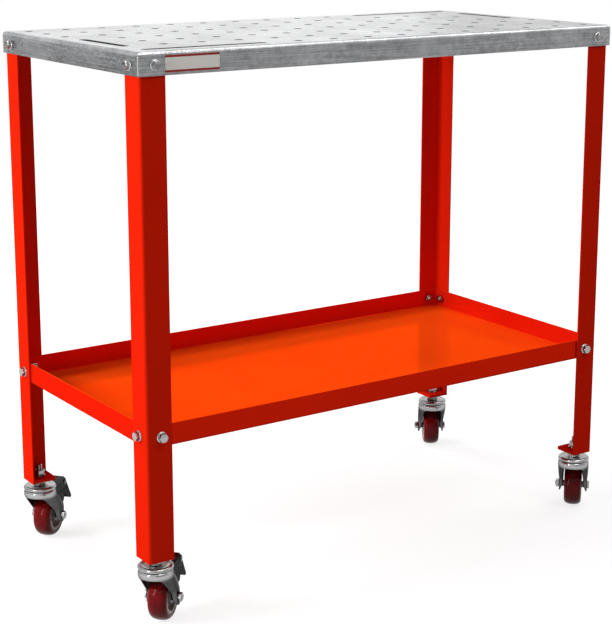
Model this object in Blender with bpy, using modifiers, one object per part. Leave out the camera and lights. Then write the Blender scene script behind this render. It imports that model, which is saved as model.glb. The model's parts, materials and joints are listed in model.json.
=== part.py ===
"""Mobile welding table: a folded, perforated steel top on four bolted angle legs with a shelf tray,
standing on four swivel casters, two of them with foot brakes. Metres, +Z up, floor at z = 0."""

import math

import bmesh
import bpy
from mathutils import Matrix, Vector

# Overall
TOP_LENGTH = 0.915
TOP_WIDTH = 0.460
LEG_LENGTH = 0.764
FIT = 0.0003

# Folded top sheet
TOP_SHEET = 0.0025
RIM_HEIGHT = 0.035
RIM_BEND = 0.0045

# Clamping holes and slots in the top
HOLE_DIAMETER = 0.013
HOLE_PITCH = 0.0655
HOLE_EDGE = 0.025
HOLE_SIDES = 8
SLOT_WIDTH = 0.014
LONG_SLOT_HOLES = 4
SHORT_SLOT_HOLES = 3

# Angle legs and their foot plates
LEG_FLANGE = 0.043
LEG_SHEET = 0.003
LEG_BEND = 0.005
FOOT_PLATE = 0.006
FOOT_WELD = 0.001

# Shelf tray
TRAY_RISE = 0.180
TRAY_LIP = 0.035
TRAY_SHEET = 0.002
TRAY_BEND = 0.004

# Bolts through rim, legs and tray
BOLT_DIAMETER = 0.008
BOLT_HOLE = 0.009
BOLT_HEAD_ACROSS = 0.013
BOLT_HEAD_HEIGHT = 0.0055
BOLT_FLANGE_DIAMETER = 0.017
BOLT_FLANGE_HEIGHT = 0.0015
BOLT_NUT_HEIGHT = 0.0065
BOLT_TIP = 0.003
BOLT_INSET = 0.028
TOP_BOLT_DROP = 0.020
TRAY_BOLT_RISE = 0.0175

# Caster stem, its nut and the swivel race
STEM_DIAMETER = 0.010
STEM_ABOVE = 0.021
STEM_HOLE = 0.0112
STEM_NUT_ACROSS = 0.017
STEM_NUT_HEIGHT = 0.009
WASHER_DIAMETER = 0.021
WASHER_HEIGHT = 0.0018
SHOULDER_ACROSS = 0.019
SHOULDER_HEIGHT = 0.010
RACE_HEIGHT = 0.0060
RACE_DISH = 0.0015
RACE_RIM = 0.005
RIVET_DIAMETER = 0.017
RIVET_HEIGHT = 0.003

# Pressed fork
CROWN_RADIUS = 0.028
CROWN_ROUND = 0.003
SKIRT_HEIGHT = 0.012
FORK_SHEET = 0.0025
FORK_GAP = 0.046
FORK_EDGE_GAP = 0.034
FORK_END_RADIUS = 0.013
FORK_FLAT_MARGIN = 0.0012
FORK_SIDES = 20
FORK_LEG_SIDES = 6
FORK_LEG_ROWS = 5
SKIRT_CLEARANCE = 0.0105

# Wheel and axle
WHEEL_RADIUS = 0.038
WHEEL_WIDTH = 0.031
WHEEL_TRAIL = 0.033
WHEEL_SIDES = 20
TREAD_DEPTH = 0.0095
TREAD_ROUND = 0.005
HUB_RIM = 0.0055
HUB_WEB = 0.012
HUB_BOSS = 0.0045
SLEEVE_DIAMETER = 0.012
AXLE_DIAMETER = 0.008
AXLE_HOLE = 0.009
AXLE_HEAD_ACROSS = 0.013
AXLE_HEAD_HEIGHT = 0.0035
AXLE_NUT_HEIGHT = 0.0055
AXLE_TIP = 0.001

# Foot brake of the left casters
PIN_REACH = 0.056
PIN_DROP = 0.0072
PIN_DIAMETER = 0.006
PIN_HOLE = 0.0068
PIN_HEAD_DIAMETER = 0.010
PIN_HEAD_HEIGHT = 0.002
EAR_GAP = 0.039
EAR_RADIUS = 0.0065
EAR_STEPS = 5
EAR_ARC = math.radians(120)
EAR_FRONT = 0.018
EAR_REAR = 0.051
EAR_DEPTH = 0.029
ROOF_SETBACK = 0.011
PEDAL_SHEET = 0.002
PEDAL_TAB = 0.007
PEDAL_LIP = 0.005
PEDAL_PLAY = 0.0006
PEDAL_LENGTH = 0.046
PEDAL_SLOPE = math.radians(60)
PEDAL_FRONT_RISE = 0.005
PEDAL_CHEEK_DROP = 0.024
PEDAL_TRAVEL = math.radians(10)
SHOE_WIDTH = 0.024
SHOE_GAP = 0.002
SHOE_START = math.radians(34)
SHOE_END = math.radians(58)
SHOE_STEPS = 4

# Direction each wheel trails in at rest, from +X towards +Y
HEADINGS = {
    "front_left": math.radians(42),
    "front_right": math.radians(44.5),
    "back_right": math.radians(56),
    "back_left": math.radians(41),
}
BRAKED = ("front_left", "back_left")

# Heights and places that follow from the sizes above
AXLE_Z = WHEEL_RADIUS
SKIRT_Z = 2 * WHEEL_RADIUS + SKIRT_CLEARANCE
CROWN_Z = SKIRT_Z + SKIRT_HEIGHT
RACE_Z = CROWN_Z + FIT
SHOULDER_Z = RACE_Z + RACE_HEIGHT - RACE_DISH + FIT
FOOT_Z = SHOULDER_Z + SHOULDER_HEIGHT + FIT
LEG_TOP_Z = FOOT_Z + LEG_LENGTH
TABLE_Z = LEG_TOP_Z + RIM_BEND + FIT
LEG_INSET = TOP_SHEET + FIT
TRAY_INSET = LEG_INSET + LEG_SHEET + FIT
TRAY_Z = FOOT_Z + TRAY_RISE
STEM_INSET = LEG_INSET + LEG_FLANGE / 2
FORK_OUTER = FORK_GAP / 2 + FORK_SHEET
FORK_EDGE = FORK_EDGE_GAP / 2 + FORK_SHEET
FORK_FLAT_Z = AXLE_Z + AXLE_HEAD_ACROSS / math.sqrt(3) + FORK_FLAT_MARGIN
FORK_LEG_SPREAD = FORK_LEG_SIDES * math.pi / FORK_SIDES
PIN_Z = CROWN_Z - PIN_DROP
EAR_OUTER = EAR_GAP / 2 + FORK_SHEET
PEDAL_WIDTH = EAR_GAP - 2 * PEDAL_PLAY
BEND_STEPS = 3
ROUND_SIDES = 12
SHANK_SIDES = 8
ROUND_SHARE = 1 - math.sqrt(0.5)
SHARP_ANGLE = math.radians(50)


def new_collection(name):
    collection = bpy.data.collections.new(name)
    bpy.context.scene.collection.children.link(collection)
    return collection


def new_material(name, colour, roughness, metallic):
    material = bpy.data.materials.new(name)
    material.use_nodes = True
    shader = material.node_tree.nodes["Principled BSDF"]
    shader.inputs["Base Color"].default_value = (*colour, 1.0)
    shader.inputs["Roughness"].default_value = roughness
    shader.inputs["Metallic"].default_value = metallic
    return material


def place(name, mesh, material, parent, location=(0, 0, 0), rotation=(0, 0, 0)):
    """One part: a named object in the table's collection, carried by its parent."""
    if not mesh.materials:
        mesh.materials.append(material)
        mesh.shade_smooth()
        mesh.set_sharp_from_angle(angle=SHARP_ANGLE)
    part = bpy.data.objects.new(name, mesh)
    table_parts.objects.link(part)
    part.parent = parent
    part.location = location
    part.rotation_euler = rotation
    return part


def place_empty(name, parent=None, location=(0, 0, 0), turn=0.0):
    empty = bpy.data.objects.new(name, None)
    table_parts.objects.link(empty)
    empty.parent = parent
    empty.location = location
    empty.rotation_euler = (0, 0, turn)
    return empty


def helper(mesh):
    """A cutter or an added shape, left out of renders."""
    shape = bpy.data.objects.new(mesh.name, mesh)
    cutters.objects.link(shape)
    shape.hide_render = True
    shape.display_type = "WIRE"
    return shape


def mesh_from(bm, name):
    mesh = bpy.data.meshes.new(name)
    bm.to_mesh(mesh)
    bm.free()
    return mesh


def evaluated_mesh(shape):
    """The helper's mesh with its modifiers applied and loose seams welded. The helper is removed."""
    graph = bpy.context.evaluated_depsgraph_get()
    mesh = bpy.data.meshes.new_from_object(shape.evaluated_get(graph))
    mesh.name = shape.name
    bpy.data.objects.remove(shape)
    bm = bmesh.new()
    bm.from_mesh(mesh)
    bmesh.ops.remove_doubles(bm, verts=bm.verts, dist=1e-6)
    bm.to_mesh(mesh)
    bm.free()
    return mesh


def add_boolean(target, tool, operation):
    boolean = target.modifiers.new(operation.title(), "BOOLEAN")
    boolean.operation = operation
    boolean.object = tool


def combined(mesh, operation, *tools):
    """The mesh joined with, or cut by, each of the tool meshes."""
    target = helper(mesh)
    shapes = [helper(tool) for tool in tools]
    for shape in shapes:
        add_boolean(target, shape, operation)
    result = evaluated_mesh(target)
    for shape in shapes:
        bpy.data.objects.remove(shape)
    return result


def rod(name, diameter, low, high, sides=SHANK_SIDES):
    """A round bar on the Z axis between two heights."""
    bm = bmesh.new()
    bmesh.ops.create_cone(
        bm,
        cap_ends=True,
        segments=sides,
        radius1=diameter / 2,
        radius2=diameter / 2,
        depth=high - low,
        matrix=Matrix.Translation((0, 0, (low + high) / 2)),
    )
    return mesh_from(bm, name)


def hexagon(name, across, low, high):
    """A hexagon bar on the Z axis, measured across its flats."""
    return rod(name, across / math.cos(math.pi / 6), low, high, sides=6)


def turned(name, profile, sides):
    """A closed (radius, height) profile turned about Z, with a facet's middle facing -Y."""
    start = math.pi / 2 + math.pi / sides
    bm = bmesh.new()
    verts = [bm.verts.new((r * math.cos(start), r * math.sin(start), z)) for r, z in profile]
    for first, second in zip(verts, verts[1:] + verts[:1]):
        bm.edges.new((first, second))
    shape = helper(mesh_from(bm, name))
    screw = shape.modifiers.new("Turn", "SCREW")
    screw.steps = screw.render_steps = sides
    screw.use_merge_vertices = True
    screw.merge_threshold = 1e-5
    return evaluated_mesh(shape)


def slab(name, outline, thickness):
    """A flat outline in XY, extruded both ways along Z."""
    curve = bpy.data.curves.new(name, "CURVE")
    curve.dimensions = "2D"
    curve.fill_mode = "BOTH"
    curve.extrude = thickness / 2
    spline = curve.splines.new("POLY")
    spline.points.add(len(outline) - 1)
    spline.use_cyclic_u = True
    for point, (x, y) in zip(spline.points, outline):
        point.co = (x, y, 0, 1)
    return evaluated_mesh(helper(curve))


def folded_sheet(name, size, open_sides, bent_along, bend, sheet):
    """A box with some sides left open, the edges along the named axes bent, thickened inwards."""
    bm = bmesh.new()
    bmesh.ops.create_cube(bm, size=1.0, matrix=Matrix.Diagonal((*size, 1)))
    gone = [f for f in bm.faces if any(f.normal.dot(Vector(side)) > 0.9 for side in open_sides)]
    bmesh.ops.delete(bm, geom=gone, context="FACES")
    bent = []
    for edge in bm.edges:
        direction = (edge.verts[1].co - edge.verts[0].co).normalized()
        axis = max("xyz", key=lambda name: abs(getattr(direction, name)))
        if len(edge.link_faces) == 2 and axis in bent_along:
            bent.append(edge)
    bmesh.ops.bevel(bm, geom=bent, offset=bend, segments=BEND_STEPS, profile=0.5, affect="EDGES")
    shape = helper(mesh_from(bm, name))
    solidify = shape.modifiers.new("Sheet", "SOLIDIFY")
    solidify.thickness = sheet
    solidify.offset = -1
    solidify.use_even_offset = True
    return evaluated_mesh(shape)


def moved(mesh, matrix):
    mesh.transform(matrix)
    return mesh


def along_x(mesh):
    return moved(mesh, Matrix.Rotation(math.pi / 2, 4, "Y"))


def along_y(mesh):
    return moved(mesh, Matrix.Rotation(-math.pi / 2, 4, "X"))


def hole_places(length):
    """Hole positions along one side of the top, centred, one pitch apart."""
    gaps = int((length - 2 * HOLE_EDGE) / HOLE_PITCH)
    return [(i - gaps / 2) * HOLE_PITCH for i in range(gaps + 1)]


def opening(bm, width, start, end):
    """A round hole where start equals end, otherwise a slot with round ends."""
    start, end = Vector(start), Vector(end)
    run = end - start
    turn = Matrix.Rotation(math.atan2(run.y, run.x), 4, "Z")
    half_step = Matrix.Rotation(math.pi / HOLE_SIDES, 4, "Z")
    radius = width / 2 / math.cos(math.pi / HOLE_SIDES)
    made = bmesh.ops.create_cone(
        bm,
        cap_ends=True,
        segments=HOLE_SIDES,
        radius1=radius,
        radius2=radius,
        depth=2 * RIM_HEIGHT,
        matrix=half_step,
    )
    for vert in made["verts"]:
        vert.co.x += math.copysign(run.length / 2, vert.co.x)
    middle = ((start + end) / 2).to_3d()
    bmesh.ops.transform(bm, matrix=Matrix.Translation(middle) @ turn, verts=made["verts"])


def clamping_openings():
    """Every hole and slot of the top, as one cutter. The slots take the place of some holes."""
    columns = hole_places(TOP_LENGTH)
    rows = hole_places(TOP_WIDTH)
    long_end = LONG_SLOT_HOLES - 1
    short_end = SHORT_SLOT_HOLES
    slots = [
        ((0, 0), (long_end, 0)),
        ((0, 1), (0, short_end)),
        ((-1, -1), (-1 - long_end, -1)),
        ((-1, -2), (-1, -1 - short_end)),
    ]
    bm = bmesh.new()
    taken = set()
    for (c0, r0), (c1, r1) in slots:
        opening(bm, SLOT_WIDTH, (columns[c0], rows[r0]), (columns[c1], rows[r1]))
        for column in range(min(c0, c1), max(c0, c1) + 1):
            for row in range(min(r0, r1), max(r0, r1) + 1):
                taken.add((columns[column], rows[row]))
    for x in columns:
        for y in rows:
            if (x, y) not in taken:
                opening(bm, HOLE_DIAMETER, (x, y), (x, y))
    return bm


def bolt_places():
    """The eight bolt axes of a level: middle of the hole's way in, and the way in itself."""
    half_x, half_y = TOP_LENGTH / 2, TOP_WIDTH / 2
    for sx in (-1, 1):
        for sy in (-1, 1):
            yield Vector((sx * half_x, sy * (half_y - BOLT_INSET), 0)), Vector((-sx, 0, 0))
            yield Vector((sx * (half_x - BOLT_INSET), sy * half_y, 0)), Vector((0, -sy, 0))


def bolt_hole_cutters(bm, z, depth):
    for point, way in bolt_places():
        facing = way.to_track_quat("Z", "Y").to_matrix().to_4x4()
        bmesh.ops.create_cone(
            bm,
            cap_ends=True,
            segments=SHANK_SIDES,
            radius1=BOLT_HOLE / 2,
            radius2=BOLT_HOLE / 2,
            depth=2 * depth,
            matrix=Matrix.Translation(point + Vector((0, 0, z))) @ facing,
        )


def build_top(material):
    """The top pan with its holes, slots and bolt holes. Its frame is the middle of its upper face."""
    size = (TOP_LENGTH, TOP_WIDTH, RIM_HEIGHT)
    pan = folded_sheet("table_top", size, [(0, 0, -1)], "xy", RIM_BEND, TOP_SHEET)
    moved(pan, Matrix.Translation((0, 0, -RIM_HEIGHT / 2)))
    top = place("table_top", pan, material, table, (0, 0, TABLE_Z))
    bm = clamping_openings()
    bolt_hole_cutters(bm, -TOP_BOLT_DROP, 2 * TOP_SHEET)
    cutter = helper(mesh_from(bm, "top_openings"))
    cutter.parent = top
    add_boolean(top, cutter, "DIFFERENCE")


def build_tray(material):
    """The shelf tray, lips up, with its bolt holes. Its frame is the middle of its underside."""
    length = TOP_LENGTH - 2 * TRAY_INSET
    width = TOP_WIDTH - 2 * TRAY_INSET
    pan = folded_sheet("shelf_tray", (length, width, TRAY_LIP), [(0, 0, 1)], "xyz", TRAY_BEND, TRAY_SHEET)
    moved(pan, Matrix.Translation((0, 0, TRAY_LIP / 2)))
    tray = place("shelf_tray", pan, material, table, (0, 0, TRAY_Z))
    bm = bmesh.new()
    bolt_hole_cutters(bm, TRAY_BOLT_RISE, TRAY_INSET + 2 * TRAY_SHEET)
    cutter = helper(mesh_from(bm, "tray_bolt_holes"))
    cutter.parent = tray
    add_boolean(tray, cutter, "DIFFERENCE")


def leg_mesh():
    """An angle leg with its foot plate. Its frame is the outer corner of the bend at the lower end."""
    size = (LEG_FLANGE, LEG_FLANGE, LEG_LENGTH)
    open_sides = [(1, 0, 0), (0, 1, 0), (0, 0, 1), (0, 0, -1)]
    leg = folded_sheet("leg", size, open_sides, "z", LEG_BEND, LEG_SHEET)
    moved(leg, Matrix.Translation(Vector(size) / 2))
    low = LEG_SHEET - FOOT_WELD
    side = LEG_FLANGE - low - FIT
    bm = bmesh.new()
    corner = Vector((low + side / 2, low + side / 2, FOOT_PLATE / 2))
    bmesh.ops.create_cube(
        bm, size=1.0, matrix=Matrix.Translation(corner) @ Matrix.Diagonal((side, side, FOOT_PLATE, 1))
    )
    foot = moved(mesh_from(bm, "foot_plate"), Matrix.Translation((0, 0, FIT)))
    leg = combined(leg, "UNION", foot)
    middle = Matrix.Translation((LEG_FLANGE / 2, LEG_FLANGE / 2, 0))
    holes = [moved(rod("stem_hole", STEM_HOLE, -FOOT_PLATE, 2 * FOOT_PLATE), middle)]
    reach = BOLT_INSET - LEG_INSET
    top_bolt = LEG_LENGTH + RIM_BEND + FIT - TOP_BOLT_DROP
    for height in (top_bolt, TRAY_RISE + TRAY_BOLT_RISE):
        across_x = along_x(rod("bolt_hole_x", BOLT_HOLE, -LEG_SHEET, 2 * LEG_SHEET))
        across_y = along_y(rod("bolt_hole_y", BOLT_HOLE, -LEG_SHEET, 2 * LEG_SHEET))
        holes.append(moved(across_x, Matrix.Translation((0, reach, height))))
        holes.append(moved(across_y, Matrix.Translation((reach, 0, height))))
    return combined(leg, "DIFFERENCE", *holes)


def bolt_mesh(name, grip):
    """A flanged hex bolt with its nut drawn up. Z points inwards from the outer sheet's face."""
    flange_top = -FIT - BOLT_FLANGE_HEIGHT
    nut = grip + FIT
    shank = rod(name, BOLT_DIAMETER, flange_top - FIT, nut + BOLT_NUT_HEIGHT + BOLT_TIP)
    flange = rod("flange", BOLT_FLANGE_DIAMETER, flange_top, -FIT, ROUND_SIDES)
    head = hexagon("head", BOLT_HEAD_ACROSS, flange_top - BOLT_HEAD_HEIGHT, -FIT - BOLT_FLANGE_HEIGHT / 2)
    nut = hexagon("nut", BOLT_HEAD_ACROSS, nut, nut + BOLT_NUT_HEIGHT)
    return combined(shank, "UNION", flange, head, nut)


def build_bolts(material):
    """Two bolts at each corner through rim and leg, and two through leg and tray lip."""
    top_bolt = bolt_mesh("top_bolt", TOP_SHEET + FIT + LEG_SHEET)
    tray_bolt = bolt_mesh("shelf_bolt", LEG_SHEET + FIT + TRAY_SHEET)
    levels = [
        ("top_bolt", top_bolt, TABLE_Z - TOP_BOLT_DROP, 0.0),
        ("shelf_bolt", tray_bolt, TRAY_Z + TRAY_BOLT_RISE, LEG_INSET),
    ]
    for level, mesh, z, inset in levels:
        for point, way in bolt_places():
            row = "front" if point.y < 0 else "back"
            side = "left" if point.x < 0 else "right"
            face = side if way.x else row
            place(
                f"{level}_{row}_{side}_on_{face}",
                mesh,
                material,
                table,
                point + inset * way + Vector((0, 0, z)),
                way.to_track_quat("Z", "Y").to_euler(),
            )


def stem_mesh():
    """Threaded stem, hex shoulder and riveted kingpin in one. Its frame is on the floor."""
    rivet_top = CROWN_Z - FORK_SHEET - FIT
    rivet_low = rivet_top - RIVET_HEIGHT
    stem = rod("stem", STEM_DIAMETER, rivet_low + RIVET_HEIGHT / 2, FOOT_Z + FOOT_PLATE + STEM_ABOVE)
    shoulder = hexagon("shoulder", SHOULDER_ACROSS, SHOULDER_Z, SHOULDER_Z + SHOULDER_HEIGHT)
    rivet = rod("rivet", RIVET_DIAMETER, rivet_low, rivet_top)
    return combined(stem, "UNION", shoulder, rivet)


def stem_nut_mesh():
    """Hex nut on its washer, on top of the foot plate. Its frame is on the floor."""
    low = FOOT_Z + FIT + FOOT_PLATE + FIT
    high = low + WASHER_HEIGHT + STEM_NUT_HEIGHT
    nut = hexagon("stem_nut", STEM_NUT_ACROSS, low + WASHER_HEIGHT / 2, high)
    nut = combined(nut, "UNION", rod("washer", WASHER_DIAMETER, low, low + WASHER_HEIGHT, ROUND_SIDES))
    return combined(nut, "DIFFERENCE", rod("thread", STEM_HOLE, low - FIT, high + FIT))


def race_cap_mesh():
    """The dished upper race, clamped under the stem's shoulder. Its frame is on the floor."""
    low, high = RACE_Z, RACE_Z + RACE_HEIGHT
    dish = high - RACE_DISH
    bore = STEM_HOLE / 2
    profile = [
        (bore, dish),
        (CROWN_RADIUS - 2 * RACE_RIM, dish),
        (CROWN_RADIUS - RACE_RIM, high),
        (CROWN_RADIUS - RACE_RIM / 4, high - RACE_HEIGHT / 3),
        (CROWN_RADIUS, low + RACE_HEIGHT / 4),
        (CROWN_RADIUS, low),
        (bore, low),
    ]
    return turned("race_cap", profile, FORK_SIDES)


def fork_leg_point(share, row):
    """A point of a leg: front (-1) to rear (1) across it, and row by row from the skirt down to the end.
    The leg is flat round the axle, and its two edges are turned in towards the wheel."""
    at_edge = abs(share) == 1
    low_x = WHEEL_TRAIL + share * FORK_END_RADIUS
    low_y = FORK_EDGE if at_edge else FORK_OUTER
    if row > FORK_LEG_ROWS:
        return low_x, low_y, AXLE_Z - FORK_END_RADIUS * math.sqrt(1 - share * share)
    t = row / FORK_LEG_ROWS
    rear_lead = max(0, share) * (1 - (1 - t) ** 3 - t)
    top_x = CROWN_RADIUS * math.sin(share * FORK_LEG_SPREAD)
    top_y = CROWN_RADIUS * math.cos(share * FORK_LEG_SPREAD)
    spread = math.sin(t * math.pi / 2) if at_edge else t**2
    x = top_x + (low_x - top_x) * (t + rear_lead)
    y = top_y + (low_y - top_y) * spread
    z = SKIRT_Z + (FORK_FLAT_Z - SKIRT_Z) * t
    return x, y, z


def drawn_out(bm, edges):
    """Extrudes a row of open edges in place, and gives the new edges and points."""
    made = bmesh.ops.extrude_edge_only(bm, edges=edges)["geom"]
    new_edges = [item for item in made if isinstance(item, bmesh.types.BMEdge)]
    new_verts = [item for item in made if isinstance(item, bmesh.types.BMVert)]
    return new_edges, new_verts


def fork_surface():
    """The pressed crown, skirt and legs as one surface, drawn out ring by ring and then row by row."""
    bm = bmesh.new()
    bore = bmesh.ops.create_circle(bm, cap_ends=False, segments=FORK_SIDES, radius=STEM_HOLE / 2)["verts"]
    bmesh.ops.translate(bm, verts=bore, vec=(0, 0, CROWN_Z))
    edges = list(bm.edges)
    rings = [
        (CROWN_RADIUS - CROWN_ROUND, CROWN_Z),
        (CROWN_RADIUS - CROWN_ROUND * ROUND_SHARE, CROWN_Z - CROWN_ROUND * ROUND_SHARE),
        (CROWN_RADIUS, CROWN_Z - CROWN_ROUND),
        (CROWN_RADIUS, SKIRT_Z),
    ]
    for radius, z in rings:
        edges, verts = drawn_out(bm, edges)
        for vert in verts:
            vert.co = (vert.co.xy.normalized() * radius).to_3d() + Vector((0, 0, z))
    for side in (1, -1):
        leg = []
        for edge in edges:
            middle = (edge.verts[0].co + edge.verts[1].co) / 2
            if abs(math.atan2(middle.x, side * middle.y)) < FORK_LEG_SPREAD:
                leg.append(edge)
        for row in range(1, FORK_LEG_ROWS + 2):
            leg, verts = drawn_out(bm, leg)
            verts.sort(key=lambda vert: vert.co.x)
            for step, vert in enumerate(verts):
                x, y, z = fork_leg_point(2 * step / FORK_LEG_SIDES - 1, row)
                vert.co = (x, side * y, z)
    bmesh.ops.recalc_face_normals(bm, faces=bm.faces)
    return mesh_from(bm, "fork")


def ear_outline():
    """Side view of a brake ear: from the skirt back to the pivot pin and down the leg's rear edge."""
    round_end = []
    for step in range(EAR_STEPS + 1):
        angle = EAR_ARC * step / EAR_STEPS
        round_end.append((PIN_REACH + EAR_RADIUS * math.sin(angle), PIN_Z + EAR_RADIUS * math.cos(angle)))
    front = [(EAR_FRONT, SKIRT_Z), (EAR_FRONT, PIN_Z + EAR_RADIUS)]
    low = SKIRT_Z - EAR_DEPTH
    return [*front, *round_end, (EAR_REAR, low), (WHEEL_TRAIL, low)]


def roof_mesh():
    """The plate over the wheel that ties the two brake ears together, in front of the pedal."""
    rear = PIN_REACH - ROOF_SETBACK
    bm = bmesh.new()
    size = (rear - EAR_FRONT, EAR_GAP + FORK_SHEET, FORK_SHEET)
    middle = ((EAR_FRONT + rear) / 2, 0, CROWN_Z - CROWN_ROUND / 2 - FORK_SHEET / 2)
    bmesh.ops.create_cube(bm, size=1.0, matrix=Matrix.Translation(middle) @ Matrix.Diagonal((*size, 1)))
    return mesh_from(bm, "roof")


def fork_mesh(braked):
    """The fork, with ears and a roof for the pedal where it has a brake. Its frame is on the floor."""
    shape = helper(fork_surface())
    solidify = shape.modifiers.new("Sheet", "SOLIDIFY")
    solidify.thickness = FORK_SHEET
    solidify.offset = -1
    solidify.use_even_offset = True
    fork = evaluated_mesh(shape)
    reach = FORK_OUTER + FORK_SHEET
    if braked:
        ears = []
        for side in (1, -1):
            ear = slab("ear", ear_outline(), FORK_SHEET)
            moved(ear, Matrix.Rotation(math.pi / 2, 4, "X"))
            ears.append(moved(ear, Matrix.Translation((0, side * (EAR_OUTER - FORK_SHEET / 2), 0))))
        fork = combined(fork, "UNION", roof_mesh(), *ears)
    axle_hole = along_y(rod("axle_hole", AXLE_HOLE, -reach, reach))
    moved(axle_hole, Matrix.Translation((WHEEL_TRAIL, 0, AXLE_Z)))
    fork = combined(fork, "DIFFERENCE", axle_hole)
    if braked:
        pin_hole = along_y(rod("pin_hole", PIN_HOLE, -reach, reach))
        moved(pin_hole, Matrix.Translation((PIN_REACH, 0, PIN_Z)))
        fork = combined(fork, "DIFFERENCE", pin_hole)
    return fork


def pedal_outline():
    """Side view of the pedal about its pivot: a tab over the pin and a long plate sloping to the rear."""
    slope = Vector((math.cos(PEDAL_SLOPE), -math.sin(PEDAL_SLOPE)))
    lip = Vector((-slope.y, slope.x)) * PEDAL_LIP
    crest = Vector((PEDAL_TAB, PEDAL_TAB))
    knee = crest + Vector((PEDAL_TAB, -PEDAL_TAB))
    tip = knee + slope * PEDAL_LENGTH
    front_top = Vector((-PEDAL_TAB, PEDAL_FRONT_RISE))
    cheek_low = Vector((PEDAL_TAB / 2, -PEDAL_CHEEK_DROP))
    front_low = Vector((-PEDAL_TAB, -PEDAL_TAB))
    return [front_top, crest, knee, tip, tip - lip, cheek_low, front_low]


def pedal_wall():
    """How far the pedal's hollow lies inside its outline: towards the wheel and down."""
    return Vector((-PEDAL_SHEET, -PEDAL_SHEET))


def pedal_mesh():
    """A folded pedal, open towards the wheel, with a hole through its cheeks for the pin."""
    outline = pedal_outline()
    pedal = slab("pedal", outline, PEDAL_WIDTH)
    hollow = slab("pedal_hollow", [p + pedal_wall() for p in outline], PEDAL_WIDTH - 2 * PEDAL_SHEET)
    hole = rod("pedal_hole", PIN_HOLE, -PEDAL_WIDTH, PEDAL_WIDTH)
    return combined(pedal, "DIFFERENCE", hollow, hole)


def pin_mesh():
    """The pedal's pivot pin, with a head outside each ear."""
    face = EAR_OUTER + FIT
    pin = rod("pin", PIN_DIAMETER, -face - PIN_HEAD_HEIGHT / 2, face + PIN_HEAD_HEIGHT / 2)
    first = rod("pin_head", PIN_HEAD_DIAMETER, -face - PIN_HEAD_HEIGHT, -face)
    second = rod("pin_tail", PIN_HEAD_DIAMETER, face, face + PIN_HEAD_HEIGHT)
    return combined(pin, "UNION", first, second)


def shoe_mesh():
    """The brake shoe: its face fits the tread when the pedal is down, its back lies on the pedal's plate."""
    wheel = Vector((WHEEL_TRAIL - PIN_REACH, AXLE_Z - PIN_Z))
    released = Matrix.Rotation(PEDAL_TRAVEL, 2)
    face = []
    for step in range(SHOE_STEPS + 1):
        angle = SHOE_START + (SHOE_END - SHOE_START) * step / SHOE_STEPS
        on_tread = wheel + (WHEEL_RADIUS + SHOE_GAP) * Vector((math.cos(angle), math.sin(angle)))
        face.append(released @ on_tread)
    _, _, knee, tip, *_ = pedal_outline()
    slope = (tip - knee).normalized()
    inwards = Vector((slope.y, -slope.x))
    back = knee + pedal_wall() + FIT * inwards
    ends = [back + slope * slope.dot(point - back) for point in (face[-1], face[0])]
    return slab("shoe", [*face, *ends], SHOE_WIDTH)


def axle_mesh():
    """Axle bolt with its nut, on the Z axis, its middle in the wheel's middle."""
    face = FORK_OUTER + FIT
    axle = rod("axle", AXLE_DIAMETER, -face - AXLE_NUT_HEIGHT - AXLE_TIP, face + AXLE_HEAD_HEIGHT / 2)
    head = hexagon("axle_head", AXLE_HEAD_ACROSS, face, face + AXLE_HEAD_HEIGHT)
    nut = hexagon("axle_nut", AXLE_HEAD_ACROSS, -face - AXLE_NUT_HEIGHT, -face)
    return combined(axle, "UNION", head, nut)


def sleeve_mesh():
    """The sleeve that the axle clamps between the fork's legs."""
    half = FORK_GAP / 2 - FIT
    outer, bore = SLEEVE_DIAMETER / 2, AXLE_HOLE / 2
    return turned("sleeve", [(outer, half), (outer, -half), (bore, -half), (bore, half)], ROUND_SIDES)


def hub_mesh():
    """Wheel centre: a rim, a recessed web and a boss that runs on the sleeve."""
    half = WHEEL_WIDTH / 2 - FIT
    web = HUB_WEB / 2
    outer = WHEEL_RADIUS - TREAD_DEPTH - FIT
    inner = outer - HUB_RIM
    bore = SLEEVE_DIAMETER / 2 + 2 * FIT
    boss = bore + HUB_BOSS
    profile = [
        (outer, half),
        (outer, -half),
        (inner, -half),
        (inner, -web),
        (boss, -web),
        (boss, -half),
        (bore, -half),
        (bore, half),
        (boss, half),
        (boss, web),
        (inner, web),
        (inner, half),
    ]
    return turned("hub", profile, WHEEL_SIDES)


def tread_mesh():
    """The polyurethane tyre. Its facets, not its edges, lie on the wheel radius."""
    half = WHEEL_WIDTH / 2
    outer = WHEEL_RADIUS / math.cos(math.pi / WHEEL_SIDES)
    inner = WHEEL_RADIUS - TREAD_DEPTH
    shoulder = TREAD_ROUND * ROUND_SHARE
    profile = [
        (outer - TREAD_ROUND, half),
        (outer - shoulder, half - shoulder),
        (outer, half - TREAD_ROUND),
        (outer, TREAD_ROUND - half),
        (outer - shoulder, shoulder - half),
        (outer - TREAD_ROUND, -half),
        (inner, -half),
        (inner, half),
    ]
    return turned("tread", profile, WHEEL_SIDES)


def footprint():
    """The lowest and highest x and y of every part at rest."""
    graph = bpy.context.evaluated_depsgraph_get()
    points = []
    for part in table_parts.objects:
        if part.type == "MESH":
            shape = part.evaluated_get(graph)
            points.extend((shape.matrix_world @ vert.co).xy for vert in shape.data.vertices)
    low = Vector((min(p.x for p in points), min(p.y for p in points)))
    high = Vector((max(p.x for p in points), max(p.y for p in points)))
    return low, high


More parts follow.
